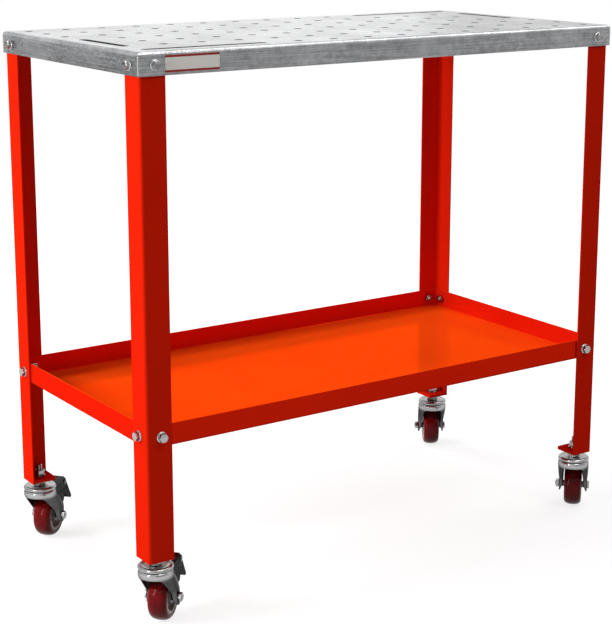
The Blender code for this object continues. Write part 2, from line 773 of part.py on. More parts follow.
def build_caster(corner, name, heading):
    """One caster under its corner: fixed stem and race, swivelling fork, turning wheel, and any brake."""
    stem_at = (STEM_INSET, STEM_INSET, 0)
    place(f"caster_stem_{name}", meshes["stem"], zinc, corner, stem_at)
    place(f"stem_nut_{name}", meshes["stem_nut"], zinc, corner, stem_at)
    place(f"race_cap_{name}", meshes["race_cap"], zinc, corner, stem_at)
    braked = name in BRAKED
    fork = place(
        f"fork_{name}", meshes["braked_fork" if braked else "fork"], zinc, corner, stem_at, (0, 0, heading)
    )
    on_axle = (WHEEL_TRAIL, 0, AXLE_Z)
    lying = (math.pi / 2, 0, 0)
    nut_to_right = (-math.pi / 2, 0, 0)
    place(f"axle_{name}", meshes["axle"], zinc, fork, on_axle, nut_to_right if braked else lying)
    place(f"axle_sleeve_{name}", meshes["sleeve"], zinc, fork, on_axle, lying)
    place(f"wheel_hub_{name}", meshes["hub"], hub_grey, fork, on_axle, lying)
    place(f"wheel_tread_{name}", meshes["tread"], polyurethane, fork, on_axle, lying)
    if braked:
        on_pin = (PIN_REACH, 0, PIN_Z)
        place(f"pedal_pin_{name}", meshes["pin"], zinc, fork, on_pin, lying)
        place(f"brake_pedal_{name}", meshes["pedal"], zinc, fork, on_pin, lying)
        place(f"brake_shoe_{name}", meshes["shoe"], rubber, fork, on_pin, lying)


for old in list(bpy.data.objects):
    bpy.data.objects.remove(old)

table_parts = new_collection("mobile_welding_table")
cutters = new_collection("cutters")
cutters.hide_render = True

galvanised = new_material("galvanised_sheet", (0.55, 0.56, 0.57), 0.38, 0.85)
red_enamel = new_material("red_enamel", (0.62, 0.02, 0.012), 0.30, 0.0)
zinc = new_material("zinc_plate", (0.62, 0.62, 0.60), 0.28, 1.0)
hub_grey = new_material("hub_grey", (0.30, 0.29, 0.28), 0.45, 0.0)
polyurethane = new_material("maroon_polyurethane", (0.16, 0.010, 0.014), 0.22, 0.0)
rubber = new_material("brake_rubber", (0.02, 0.02, 0.02), 0.7, 0.0)

table = place_empty("table")
build_top(galvanised)
build_tray(red_enamel)
build_bolts(zinc)

meshes = {
    "leg": leg_mesh(),
    "stem": stem_mesh(),
    "stem_nut": stem_nut_mesh(),
    "race_cap": race_cap_mesh(),
    "fork": fork_mesh(False),
    "braked_fork": fork_mesh(True),
    "axle": axle_mesh(),
    "sleeve": sleeve_mesh(),
    "hub": hub_mesh(),
    "tread": tread_mesh(),
    "pin": pin_mesh(),
    "pedal": pedal_mesh(),
    "shoe": shoe_mesh(),
}

half_length, half_width = TOP_LENGTH / 2, TOP_WIDTH / 2
corners = [
    ("front_left", -half_length, -half_width),
    ("front_right", half_length, -half_width),
    ("back_right", half_length, half_width),
    ("back_left", -half_length, half_width),
]
for quarter, (name, x, y) in enumerate(corners):
    turn = quarter * math.pi / 2
    corner = place_empty(f"corner_{name}", table, (x, y, 0), turn)
    place(f"leg_{name}", meshes["leg"], red_enamel, corner, (LEG_INSET, LEG_INSET, FOOT_Z))
    build_caster(corner, name, HEADINGS[name] - turn)

# The origin is the middle of the overall footprint, on the floor
bpy.context.view_layer.update()
low, high = footprint()
table.location = -((low + high) / 2).to_3d()
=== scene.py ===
"""Mobile welding table, dressed: each sheet, bolt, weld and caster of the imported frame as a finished
piece. Metres, +Z up, floor at z = 0, in the frame's own axes."""

import json
import math

import bmesh
import bpy
from mathutils import Matrix, Vector


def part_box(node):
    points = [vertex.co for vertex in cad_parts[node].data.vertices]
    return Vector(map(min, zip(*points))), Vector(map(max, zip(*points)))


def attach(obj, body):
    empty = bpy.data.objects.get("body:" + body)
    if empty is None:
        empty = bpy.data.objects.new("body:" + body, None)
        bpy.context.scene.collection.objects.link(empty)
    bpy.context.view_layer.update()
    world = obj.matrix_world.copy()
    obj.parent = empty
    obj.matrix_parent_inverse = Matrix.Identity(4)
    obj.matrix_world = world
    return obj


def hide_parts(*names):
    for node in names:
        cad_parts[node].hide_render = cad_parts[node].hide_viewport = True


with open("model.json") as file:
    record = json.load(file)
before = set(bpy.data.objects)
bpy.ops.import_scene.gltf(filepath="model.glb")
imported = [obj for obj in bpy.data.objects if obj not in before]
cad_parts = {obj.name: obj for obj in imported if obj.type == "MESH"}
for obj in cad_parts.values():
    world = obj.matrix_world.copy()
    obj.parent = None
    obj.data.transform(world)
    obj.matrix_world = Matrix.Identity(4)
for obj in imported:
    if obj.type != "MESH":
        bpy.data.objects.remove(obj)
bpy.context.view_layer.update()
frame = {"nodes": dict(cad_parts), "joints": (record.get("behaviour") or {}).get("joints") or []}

# Table top: one galvanised steel sheet, punched with clamping holes and slots and then folded down
# into a rim on all four sides. The punched edges are broken, so they catch the light. The walls of the
# holes and slots are painted shade: a dark zinc that darkens the openings.
TOP_SHEET = 0.0025
RIM_BEND = 0.0062
HOLE_DIAMETER = 0.013
HOLE_PITCH = 0.0655
HOLE_EDGE = 0.025
SLOT_WIDTH = 0.014
LONG_SLOT_HOLES = 4
SHORT_SLOT_HOLES = 3
EDGE_BREAK = 0.0004
HOLE_SIDES = 28
FOLD_STEPS = 6
WALL_SHADE_SLOT = 1
CREASE = math.radians(32)
ZINC_DARK = (0.16, 0.163, 0.17)
ZINC_LIGHT = (0.60, 0.605, 0.615)
# Painted shade: the dark zinc on the walls of the holes and slots.
WALL_SHADE_DARK = (0.05, 0.05, 0.052)
WALL_SHADE_LIGHT = (0.13, 0.13, 0.132)
ZINC_RELIEF = 0.6
ZINC_DEPTH = 0.0002
STREAK_STRETCH = (9.0, 9.0, 420.0)
STREAK_GAIN = 3.0
STREAK_LEAST = 0.4
STREAK_RELIEF = 0.2
PATCH_SHARE = 0.9
GRAIN_RELIEF = 0.12
EFFECT_OUTPUTS = ("Tone", "Roughness", "Height")


def skin(bm, rings, closed=False):
    """Faces between neighbouring rings of points. The end rings are capped, or joined if it is closed."""
    rows = [[bm.verts.new(point) for point in ring] for ring in rings]
    pairs = list(zip(rows, rows[1:]))
    if closed:
        pairs.append((rows[-1], rows[0]))
    for low, high in pairs:
        for step in range(len(low)):
            after = (step + 1) % len(low)
            bm.faces.new((low[step], low[after], high[after], high[step]))
    if not closed:
        bm.faces.new(reversed(rows[0]))
        bm.faces.new(rows[-1])


def as_object(name, bm):
    """The built mesh as an object, its faces as they are."""
    mesh = bpy.data.meshes.new(name)
    bm.to_mesh(mesh)
    bm.free()
    shape = bpy.data.objects.new(name, mesh)
    bpy.context.scene.collection.objects.link(shape)
    return shape


def in_scene(name, bm):
    """The built mesh as an object, its faces turned outwards."""
    bmesh.ops.recalc_face_normals(bm, faces=bm.faces)
    return as_object(name, bm)


def applied(shape):
    """The shape's mesh with its modifiers applied, ready to build on. The shape is removed."""
    graph = bpy.context.evaluated_depsgraph_get()
    mesh = bpy.data.meshes.new_from_object(shape.evaluated_get(graph))
    bpy.data.objects.remove(shape)
    bm = bmesh.new()
    bm.from_mesh(mesh)
    bpy.data.meshes.remove(mesh)
    return bm


def thickened(shape, sheet, even=True):
    """A surface given a sheet's thickness, inwards from its outer face, ready to build on."""
    solidify = shape.modifiers.new("Sheet", "SOLIDIFY")
    solidify.thickness = sheet
    solidify.offset = -1
    solidify.use_even_offset = even
    return applied(shape)


def rounded(bm, edges, radius, steps):
    """Rounds edges off, as a fold or a broken edge is."""
    bmesh.ops.bevel(bm, geom=edges, offset=radius, segments=steps, profile=0.5, affect="EDGES")


def folded_pan(low, high, open_side, bend, bent_corners, sheet):
    """A pan between two corners of a box, with one side open and its edges bent."""
    middle, size = (low + high) / 2, high - low
    bm = bmesh.new()
    bmesh.ops.create_cube(bm, size=1.0, matrix=Matrix.Translation(middle) @ Matrix.Diagonal((*size, 1)))
    gone = [face for face in bm.faces if round(face.normal.z) == open_side]
    bmesh.ops.delete(bm, geom=gone, context="FACES")
    folds = []
    for edge in bm.edges:
        upright = abs(edge.verts[0].co.z - edge.verts[1].co.z) > size.z / 2
        if len(edge.link_faces) == 2 and (bent_corners or not upright):
            folds.append(edge)
    rounded(bm, folds, bend, FOLD_STEPS)
    return thickened(in_scene("sheet", bm), sheet)


def hole_places(length):
    """Hole positions along one side of the top, centred, one pitch apart."""
    gaps = int((length - 2 * HOLE_EDGE) / HOLE_PITCH)
    return [(i - gaps / 2) * HOLE_PITCH for i in range(gaps + 1)]


def circle(sides, first=0.0):
    """Angles evenly round a circle."""
    return [2 * math.pi * (step + first) / sides for step in range(sides)]


def polar(reach, angle):
    """The point at a distance and an angle from the origin."""
    return reach * math.cos(angle), reach * math.sin(angle)


def punch(bm, width, start, end, face_z):
    """A punch for a round hole where start equals end, otherwise for a slot, flared at the upper face."""
    run = end - start
    turn = Matrix.Rotation(math.atan2(run.y, run.x), 4, "Z")
    place = Matrix.Translation((*((start + end) / 2), face_z)) @ turn
    flare = width / 2 + EDGE_BREAK
    steps = [
        (width / 2, -3 * TOP_SHEET),
        (width / 2, -EDGE_BREAK),
        (flare, EDGE_BREAK / 8),
        (flare, TOP_SHEET),
    ]
    rings = []
    for radius, z in steps:
        ring = []
        for angle in circle(HOLE_SIDES, first=0.5):
            x, y = polar(radius, angle)
            ring.append(place @ Vector((x + math.copysign(run.length / 2, x), y, z)))
        rings.append(ring)
    skin(bm, rings)


def punched_top():
    """The folded top with its grid of holes. The slots, one near each edge, take the place of some."""
    low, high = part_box("table_top")
    middle = (low + high) / 2
    columns = [middle.x + x for x in hole_places(high.x - low.x)]
    rows = [middle.y + y for y in hole_places(high.y - low.y)]
    long_end = LONG_SLOT_HOLES - 1
    slots = [
        ((0, 0), (long_end, 0)),
        ((0, 1), (0, SHORT_SLOT_HOLES)),
        ((-1, -1), (-1 - long_end, -1)),
        ((-1, -2), (-1, -1 - SHORT_SLOT_HOLES)),
    ]
    punches = bmesh.new()
    taken = set()
    for (c0, r0), (c1, r1) in slots:
        start, end = Vector((columns[c0], rows[r0])), Vector((columns[c1], rows[r1]))
        punch(punches, SLOT_WIDTH, start, end, high.z)
        for column in range(min(c0, c1), max(c0, c1) + 1):
            for row in range(min(r0, r1), max(r0, r1) + 1):
                taken.add((columns[column], rows[row]))
    for x in columns:
        for y in rows:
            if (x, y) not in taken:
                punch(punches, HOLE_DIAMETER, Vector((x, y)), Vector((x, y)), high.z)
    # The punches' faces become the walls of the holes and slots, in the dark zinc that is painted shade.
    for face in punches.faces:
        face.material_index = WALL_SHADE_SLOT
    pan = in_scene("pan", folded_pan(low, high, -1, RIM_BEND, False, TOP_SHEET))
    tool = in_scene("punches", punches)
    cut = pan.modifiers.new("Punch", "BOOLEAN")
    cut.operation = "DIFFERENCE"
    cut.object = tool
    cut.material_mode = "INDEX"
    top = applied(pan)
    bpy.data.objects.remove(tool)
    return top


def feed(tree, value, socket):
    """Sets a socket to a value, or links it to the socket that gives one."""
    if isinstance(value, bpy.types.NodeSocket):
        tree.links.new(value, socket)
    else:
        socket.default_value = value


def set_inputs(tree, node, **inputs):
    """Feeds a node's inputs by name, where _ stands for a space."""
    for name, value in inputs.items():
        feed(tree, value, node.inputs[name.replace("_", " ")])


def add_node(tree, kind, settings=None, **inputs):
    """A node with its settings and its inputs."""
    node = tree.nodes.new(kind)
    for key, value in (settings or {}).items():
        setattr(node, key, value)
    set_inputs(tree, node, **inputs)
    return node


def math_node(tree, operation, *terms):
    """One step of arithmetic on sockets or numbers."""
    node = add_node(tree, "ShaderNodeMath", {"operation": operation})
    for term, socket in zip(terms, node.inputs):
        feed(tree, term, socket)
    return node.outputs[0]


def swing(tree, value, share):
    """A share of how far a value lies from its middle, 0.5."""
    return math_node(tree, "MULTIPLY", math_node(tree, "SUBTRACT", value, 0.5), share)


def place_on(tree):
    """A point's place on its piece, in metres."""
    return add_node(tree, "ShaderNodeTexCoord").outputs["Object"]


def noise(tree, place, scale, detail, rough=0.5):
    """Cloudy noise between 0 and 1."""
    node = add_node(tree, "ShaderNodeTexNoise", Vector=place, Scale=scale, Detail=detail, Roughness=rough)
    return node.outputs["Fac"]


def new_effect(name, **inputs):
    """A shader node group with float inputs, its tone, roughness and height still to be put out."""
    group = bpy.data.node_groups.new(name, "ShaderNodeTree")
    for key, value in inputs.items():
        label = key.replace("_", " ")
        socket = group.interface.new_socket(label, in_out="INPUT", socket_type="NodeSocketFloat")
        socket.default_value = value
    for label in EFFECT_OUTPUTS:
        group.interface.new_socket(label, in_out="OUTPUT", socket_type="NodeSocketFloat")
    return group, group.nodes.new("NodeGroupInput").outputs


def put_out(group, *results):
    """Ends an effect with its tone, roughness and height."""
    end = group.nodes.new("NodeGroupOutput")
    for label, result in zip(EFFECT_OUTPUTS, results):
        group.links.new(result, end.inputs[label])
    return group


def zinc_bloom_effect():
    """Zinc crystals, rolling streaks, slow patches and fine grain."""
    tree, given = new_effect(
        "zinc_bloom", Crystal=70.0, Crystal_Share=0.3, Streak_Share=0.6, Gloss=0.3, Gloss_Spread=0.15,
        Ripple=0.0,
    )
    place = place_on(tree)
    drawn = add_node(tree, "ShaderNodeMapping", Vector=place, Scale=STREAK_STRETCH).outputs[0]
    streak = noise(tree, drawn, scale=1.0, detail=5.0, rough=0.62)
    patch = noise(tree, place, scale=16.0, detail=4.0, rough=0.6)
    grain = noise(tree, place, scale=1400.0, detail=2.0)
    ripple = noise(tree, place, scale=170.0, detail=3.0)
    cells = add_node(tree, "ShaderNodeTexVoronoi", Vector=place, Scale=given["Crystal"], Randomness=1.0)
    crystal = add_node(tree, "ShaderNodeSeparateColor", Color=cells.outputs["Color"]).outputs[0]
    gain = math_node(tree, "MULTIPLY_ADD", patch, STREAK_GAIN, STREAK_LEAST)
    lines = math_node(tree, "MULTIPLY", swing(tree, streak, given["Streak Share"]), gain)
    faces = swing(tree, crystal, given["Crystal Share"])
    clouds = math_node(tree, "ADD", swing(tree, patch, PATCH_SHARE), 0.5)
    tone = math_node(tree, "ADD", math_node(tree, "ADD", lines, faces), clouds)
    clamped = add_node(tree, "ShaderNodeClamp", Value=tone).outputs[0]
    rough = math_node(tree, "ADD", given["Gloss"], swing(tree, patch, given["Gloss Spread"]))
    drag = math_node(tree, "MULTIPLY", streak, STREAK_RELIEF)
    fine = math_node(tree, "MULTIPLY_ADD", grain, GRAIN_RELIEF, drag)
    height = math_node(tree, "MULTIPLY_ADD", ripple, given["Ripple"], fine)
    return put_out(tree, clamped, rough, height)


def grey(level):
    """A neutral colour."""
    return level, level, level, 1


def new_finish(name, **constants):
    """A node material, its tree, and its Principled shader with what stays the same all over."""
    material = bpy.data.materials.new(name)
    material.use_nodes = True
    tree = material.node_tree
    shader = tree.nodes["Principled BSDF"]
    set_inputs(tree, shader, **constants)
    return material, tree, shader


def marked(tree, shader, effect, relief, depth, **values):
    """Places an effect in a material for its roughness and its relief, and gives its tone."""
    marks = tree.nodes.new("ShaderNodeGroup")
    marks.node_tree = effect
    set_inputs(tree, marks, **values)
    bump = add_node(tree, "ShaderNodeBump", Strength=relief, Distance=depth, Height=marks.outputs["Height"])
    set_inputs(tree, shader, Roughness=marks.outputs["Roughness"], Normal=bump.outputs["Normal"])
    return marks.outputs["Tone"]


def shaded(tree, tone, dark, light):
    """A colour between a dark and a light shade, by a tone."""
    ramp = add_node(tree, "ShaderNodeValToRGB", Fac=tone)
    for stop, shade in zip(ramp.color_ramp.elements, (dark, light)):
        stop.color = (*shade, 1)
    return ramp.outputs["Color"]


def zinc_finish(name, dark, light, edge=1.0, **values):
    """Zinc between two shades. The edge says how brightly it mirrors when seen along its surface."""
    material, tree, shader = new_finish(name, Metallic=1.0, Specular_Tint=grey(edge))
    tone = marked(tree, shader, zinc_bloom, ZINC_RELIEF, ZINC_DEPTH, **values)
    set_inputs(tree, shader, Base_Color=shaded(tree, tone, dark, light))
    return material


def dress(name, bm, finish, body, slot, *nodes):
    """A finished piece of the built mesh, riding on its body in place of the plain nodes it stands for."""
    piece = in_scene(name, bm)
    piece.data.materials.append(finish)
    piece.data.shade_smooth()
    piece.data.set_sharp_from_angle(angle=CREASE)
    even = piece.modifiers.new("Even shading", "WEIGHTED_NORMAL")
    even.keep_sharp = True
    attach(piece, body)
    if nodes:
        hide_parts(*nodes)
    return piece


zinc_bloom = zinc_bloom_effect()
galvanised = zinc_finish(
    "galvanised_sheet", ZINC_DARK, ZINC_LIGHT, Crystal=120.0, Crystal_Share=0.2, Streak_Share=0.7, Gloss=0.27,
    Ripple=2.2,
)
# Painted shade inside the holes and slots.
wall_shade = zinc_finish("hole_wall_painted_shade", WALL_SHADE_DARK, WALL_SHADE_LIGHT, Crystal=500.0, Gloss=0.5)
top_sheet = dress("top_sheet", punched_top(), galvanised, "frame", "galvanised_sheet", "table_top")
top_sheet.data.materials.append(wall_shade)

# Corner welds: the rim's four corners are closed by a bead of weld, run from the fold down to the
# rim's lower edge and ground back, so it shows as a bright uneven line.
BEAD_RADIUS = 0.0013
BEAD_INSET = 0.0007
BEAD_SIDES = 10
BEAD_STEP = 0.0011
BEAD_LEAST_STEPS = 4
BEAD_RIPPLE = 0.16
BEAD_WAVE = 2.1
BEAD_DRIFT = 0.53
BEAD_END = 0.45
WELD_DARK = (0.34, 0.34, 0.34)
WELD_LIGHT = (0.62, 0.62, 0.61)
CORNERS = ("front_left", "front_right", "back_right", "back_left")


def pointed(way):
    """The turn that points Z along a direction."""
    return way.to_track_quat("Z", "Y").to_matrix().to_4x4()


def weld_bead(bm, start, end, radius):
    """A run of weld between two points: a round bead with the ripples of its passes."""
    run = end - start
    facing = pointed(run)
    steps = max(BEAD_LEAST_STEPS, round(run.length / BEAD_STEP))
    rings = []
    for step in range(steps + 1):
        ripple = 1 + BEAD_RIPPLE * math.sin(BEAD_WAVE * step) * math.cos(BEAD_DRIFT * step)
        reach = radius * ripple * (BEAD_END if step in (0, steps) else 1.0)
        along = run.length * step / steps
        rings.append([start + facing @ Vector((*polar(reach, angle), along)) for angle in circle(BEAD_SIDES)])
    skin(bm, rings)


def corner_points(low, high, inset):
    """The upright corners of a box seen from above, moved inwards, in the order of the corners' names."""
    left, near = low.x + inset, low.y + inset
    right, far = high.x - inset, high.y - inset
    return [Vector((x, y, 0)) for x, y in ((left, near), (right, near), (right, far), (left, far))]


bright_weld = zinc_finish("ground_weld", WELD_DARK, WELD_LIGHT, Crystal=400.0, Crystal_Share=0.3, Gloss=0.3)
top_low, top_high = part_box("table_top")
bead_low = Vector((0, 0, top_low.z + BEAD_RADIUS))
bead_high = Vector((0, 0, top_high.z - RIM_BEND))
for corner, at in zip(CORNERS, corner_points(top_low, top_high, BEAD_INSET)):
    bead = bmesh.new()
    weld_bead(bead, at + bead_low, at + bead_high, BEAD_RADIUS)
    dress(f"corner_weld_{corner}", bead, bright_weld, "frame", "galvanised_sheet")

# Legs: steel angles folded from sheet, with a foot plate welded across the lower end for the caster's
# stem, all powder coated red. Two bolts hold each leg to the rim and two to the shelf.
LEG_FLANGE = 0.043
LEG_SHEET = 0.003
LEG_BEND = 0.005
FOOT_PLATE = 0.006
SHEET_GAP = 0.0003
CUT_EDGE = 0.0006
FOOT_BEAD = 0.0024
COAT_DEPTH = 0.00015
COAT_GLOSS_SPREAD = 0.16
CLOUD_SHARE = 0.7
DUST_SHARE = 0.3
RED_SHADE = (0.60, 0.0115, 0.002)
RED_LIGHT = (0.69, 0.0165, 0.003)
RED_GLINT = (1.0, 0.10, 0.03)


def arc(middle, radius, start, end, steps):
    """Points on a quarter or so of a circle, in degrees."""
    points = []
    for step in range(steps + 1):
        x, y = polar(radius, math.radians(start + (end - start) * step / steps))
        points.append((middle[0] + x, middle[1] + y))
    return points


def angle_outline():
    """Cross-section of a leg, its outer corner at the origin, with bent corner and broken cut edges."""
    bend = (LEG_BEND, LEG_BEND)
    return [
        *arc(bend, LEG_BEND, 180, 270, FOLD_STEPS),
        (LEG_FLANGE - CUT_EDGE, 0),
        (LEG_FLANGE, CUT_EDGE),
        (LEG_FLANGE, LEG_SHEET - CUT_EDGE),
        (LEG_FLANGE - CUT_EDGE, LEG_SHEET),
        *arc(bend, LEG_BEND - LEG_SHEET, 270, 180, FOLD_STEPS),
        (LEG_SHEET, LEG_FLANGE - CUT_EDGE),
        (LEG_SHEET - CUT_EDGE, LEG_FLANGE),
        (CUT_EDGE, LEG_FLANGE),
        (0, LEG_FLANGE - CUT_EDGE),
    ]


def cut_rectangle(low, high, cut):
    """Outline of a rectangle between two points, with its corners cut off."""
    (left, near), (right, far) = low, high
    return [
        (left + cut, near), (right - cut, near), (right, near + cut), (right, far - cut),
        (right - cut, far), (left + cut, far), (left, far - cut), (left, near + cut),
    ]


def at_height(outline, z):
    """A flat outline as a ring of points."""
    return [(x, y, z) for x, y in outline]


def leg_bm(length):
    """A leg with its foot plate and welds. Its frame is the outer corner of the bend at the lower end."""
    bm = bmesh.new()
    skin(bm, [at_height(angle_outline(), z) for z in (0, length)])
    low, high = LEG_SHEET - CUT_EDGE, LEG_FLANGE - SHEET_GAP
    top = SHEET_GAP + FOOT_PLATE
    plate = []
    for inset, z in ((CUT_EDGE, SHEET_GAP), (0, SHEET_GAP + CUT_EDGE), (0, top - CUT_EDGE), (CUT_EDGE, top)):
        outline = cut_rectangle((low + inset, low + inset), (high - inset, high - inset), 2 * CUT_EDGE)
        plate.append(at_height(outline, z))
    skin(bm, plate)
    corner = Vector((LEG_SHEET, LEG_SHEET, top))
    for way in (Vector((1, 0, 0)), Vector((0, 1, 0))):
        weld_bead(bm, corner + way * FOOT_BEAD, corner + way * (high - 2 * FOOT_BEAD), FOOT_BEAD)
    return bm


def set_up(bm, matrix):
    """Moves a built mesh to its place."""
    bmesh.ops.transform(bm, matrix=matrix, verts=bm.verts)
    return bm


def powder_coat_effect():
    """Powder coat: a faint orange peel, slow clouds of tone and dust."""
    tree, given = new_effect("powder_coat", Peel=480.0, Gloss=0.36)
    place = place_on(tree)
    peel = noise(tree, place, scale=given["Peel"], detail=2.0)
    cloud = noise(tree, place, scale=7.0, detail=4.0, rough=0.55)
    dust = noise(tree, place, scale=60.0, detail=5.0, rough=0.7)
    tone = math_node(tree, "MULTIPLY_ADD", cloud, CLOUD_SHARE, math_node(tree, "MULTIPLY", dust, DUST_SHARE))
    rough = math_node(tree, "ADD", swing(tree, dust, COAT_GLOSS_SPREAD), given["Gloss"])
    return put_out(tree, tone, rough, peel)


def coated_finish(name, glint, gloss, metal, relief):
    """A powder coat that still needs its colour: the material, its tree, its shader and its tone."""
    material, tree, shader = new_finish(
        name, Metallic=metal, Specular_IOR_Level=0.0, Specular_Tint=(*glint, 1)
    )
    return material, tree, shader, marked(tree, shader, powder_coat, relief, COAT_DEPTH, Gloss=gloss)


def red_finish():
    """The legs' coat: one red all over."""
    material, tree, shader, tone = coated_finish(
        "red_powder_coat", RED_GLINT, gloss=0.36, metal=0.15, relief=0.12
    )
    set_inputs(tree, shader, Base_Color=shaded(tree, tone, RED_SHADE, RED_LIGHT))
    return material


powder_coat = powder_coat_effect()
red_coat = red_finish()
for quarter, corner in enumerate(CORNERS):
    low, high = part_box(f"leg_{corner}")
    outer = corner_points(low, high, 0)[quarter]
    outer.z = low.z
    turned = Matrix.Rotation(quarter * math.pi / 2, 4, "Z")
    leg = set_up(leg_bm(high.z - low.z), Matrix.Translation(outer) @ turned)
    dress(f"angle_leg_{corner}", leg, red_coat, "frame", "red_enamel", f"leg_{corner}")

# Shelf: a tray folded from one sheet, with a lip turned up all round, coated like the legs. Where its
# floor faces up, the red turns orange: painted light from above, laid into the colour.
TRAY_SHEET = 0.002
TRAY_BEND = 0.004
# Painted light from above on the shelf's floor: orange shades, faded in as the surface turns to face up.
PAINTED_TOPLIGHT_STARTS = 0.55
PAINTED_TOPLIGHT_FULL = 0.98
PAINTED_TOPLIGHT_DARK = (0.80, 0.052, 0.003)
PAINTED_TOPLIGHT_LIGHT = (0.90, 0.086, 0.004)
FLOOR_GLINT = (1.0, 0.36, 0.05)


def z_of(tree, vector):
    """How far a vector goes up."""
    return add_node(tree, "ShaderNodeSeparateXYZ", Vector=vector).outputs["Z"]


def shelf_finish():
    """The shelf's coat: the legs' red on the lips, and painted light where the sheet faces up, which turns it
    orange.
    """
    material, tree, shader, tone = coated_finish(
        "shelf_powder_coat", FLOOR_GLINT, gloss=0.13, metal=0.32, relief=0.06
    )
    # Painted light: the colour turns orange as the surface faces up.
    up = z_of(tree, add_node(tree, "ShaderNodeNewGeometry").outputs["Normal"])
    floor = add_node(tree, "ShaderNodeMapRange", Value=up, From_Min=PAINTED_TOPLIGHT_STARTS, From_Max=PAINTED_TOPLIGHT_FULL)
    colour = add_node(
        tree, "ShaderNodeMixRGB", Fac=floor.outputs["Result"],
        Color1=shaded(tree, tone, RED_SHADE, RED_LIGHT), Color2=shaded(tree, tone, PAINTED_TOPLIGHT_DARK, PAINTED_TOPLIGHT_LIGHT),
    )
    set_inputs(tree, shader, Base_Color=colour.outputs["Color"])
    return material


tray_low, tray_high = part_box("shelf_tray")
shelf = folded_pan(tray_low, tray_high, 1, TRAY_BEND, True, TRAY_SHEET)
dress("shelf_pan", shelf, shelf_finish(), "frame", "red_enamel", "shelf_tray")

# Bolts: M8 flange bolts with their nuts, zinc plated. Eight hold the rim to the legs and eight hold the
# legs to the shelf's lip, heads outside, with the thread's end showing past each nut.
BOLT_DIAMETER = 0.008
BOLT_ACROSS = 0.013
BOLT_PITCH = 0.00125
BOLT_TIP = 0.003
TIP_TAPER = 0.0009
TIP_CHAMFER = 0.0005
HEAD_HEIGHT = 0.0060
HEAD_FOOT = 0.0003
DISH_EDGE = 0.0042
DISH_FLOOR = 0.0030
DISH_DEPTH = 0.0005
FLANGE_DIAMETER = 0.0172
FLANGE_HEIGHT = 0.0016
FLANGE_NECK = 0.0077
FLANGE_ROUND = ((0.0003, 0.0010), (0.0, 0.0006), (0.0001, 0.0002), (0.0004, 0.0))
NUT_HEIGHT = 0.0065
NUT_SINK = 0.0004
HEX_FACE = 0.94
HEX_ROUND = 0.22
HEX_CHAMFER = 0.6
THREAD_DEPTH = 0.55
THREAD_SINK = 0.0002
THREAD_STEPS = 6
RING_SIDES = 48
# Painted highlight: a lighter copy of the zinc for the bolts, stems, nuts, races and axle bolts.
HIGHLIT_ZINC_DARK = (0.20, 0.20, 0.205)
HIGHLIT_ZINC_LIGHT = (0.48, 0.48, 0.475)
INWARDS = {"left": (1, 0, 0), "right": (-1, 0, 0), "front": (0, 1, 0), "back": (0, -1, 0)}


def round_ring(radius, z, across=None):
    """A circle of points, or a hexagon measured across its flats, its corners turned to the radius."""
    ring = []
    for angle in circle(RING_SIDES):
        off_flat = angle % (math.pi / 3) - math.pi / 6
        reach = min(radius, across / 2 / math.cos(off_flat)) if across else radius
        ring.append((*polar(reach, angle), z))
    return ring


def skinned(rings, closed=False):
    """A mesh of its own from rings of points."""
    bm = bmesh.new()
    skin(bm, rings, closed)
    return bm


def hex_rings(across, low, high):
    """A hexagon bar with both ends chamfered, from its lower face to its upper one."""
    corner = across / math.sqrt(3)
    face = across / 2 * HEX_FACE
    drop = corner - face
    end = [(face, 0.0), ((face + corner) / 2, HEX_ROUND * drop), (corner, HEX_CHAMFER * drop)]
    rings = [round_ring(radius, low + rise, across) for radius, rise in end]
    return rings + [round_ring(radius, high - rise, across) for radius, rise in reversed(end)]


def thread_rings(diameter, pitch, low, high):
    """A screw thread: a ridge that winds up the bar, one pitch for each turn."""
    steps = max(2, round((high - low) / pitch * THREAD_STEPS))
    rings = []
    for step in range(steps + 1):
        z = low + (high - low) * step / steps
        ring = []
        for side, angle in enumerate(circle(RING_SIDES)):
            phase = (z / pitch - side / RING_SIDES) % 1
            reach = diameter / 2 - THREAD_DEPTH * pitch * abs(2 * phase - 1)
            ring.append((*polar(reach, angle), z))
        rings.append(ring)
    return rings


def bolt_bm(grip):
    """A flange bolt, its head chamfered outside only, with its nut drawn up. Z points inwards from the
    outer sheet's face."""
    shank, flange = BOLT_DIAMETER / 2, FLANGE_DIAMETER / 2
    head = -FLANGE_HEIGHT - HEAD_HEIGHT
    foot = -FLANGE_HEIGHT - HEAD_FOOT
    nut_end = grip + NUT_HEIGHT
    tip = nut_end + BOLT_TIP
    return skinned([
        round_ring(DISH_FLOOR, head + DISH_DEPTH),
        round_ring(DISH_EDGE, head),
        *hex_rings(BOLT_ACROSS, head, foot)[:4],
        round_ring(BOLT_ACROSS / math.sqrt(3), foot, BOLT_ACROSS),
        round_ring(FLANGE_NECK, -FLANGE_HEIGHT),
        *(round_ring(flange - inset, -rise) for inset, rise in FLANGE_ROUND),
        round_ring(shank, 0),
        round_ring(shank, grip),
        *hex_rings(BOLT_ACROSS, grip, nut_end),
        round_ring(shank + NUT_SINK, nut_end),
        *thread_rings(BOLT_DIAMETER, BOLT_PITCH, nut_end - THREAD_SINK, tip - TIP_CHAMFER),
        round_ring(shank - TIP_TAPER, tip),
    ])


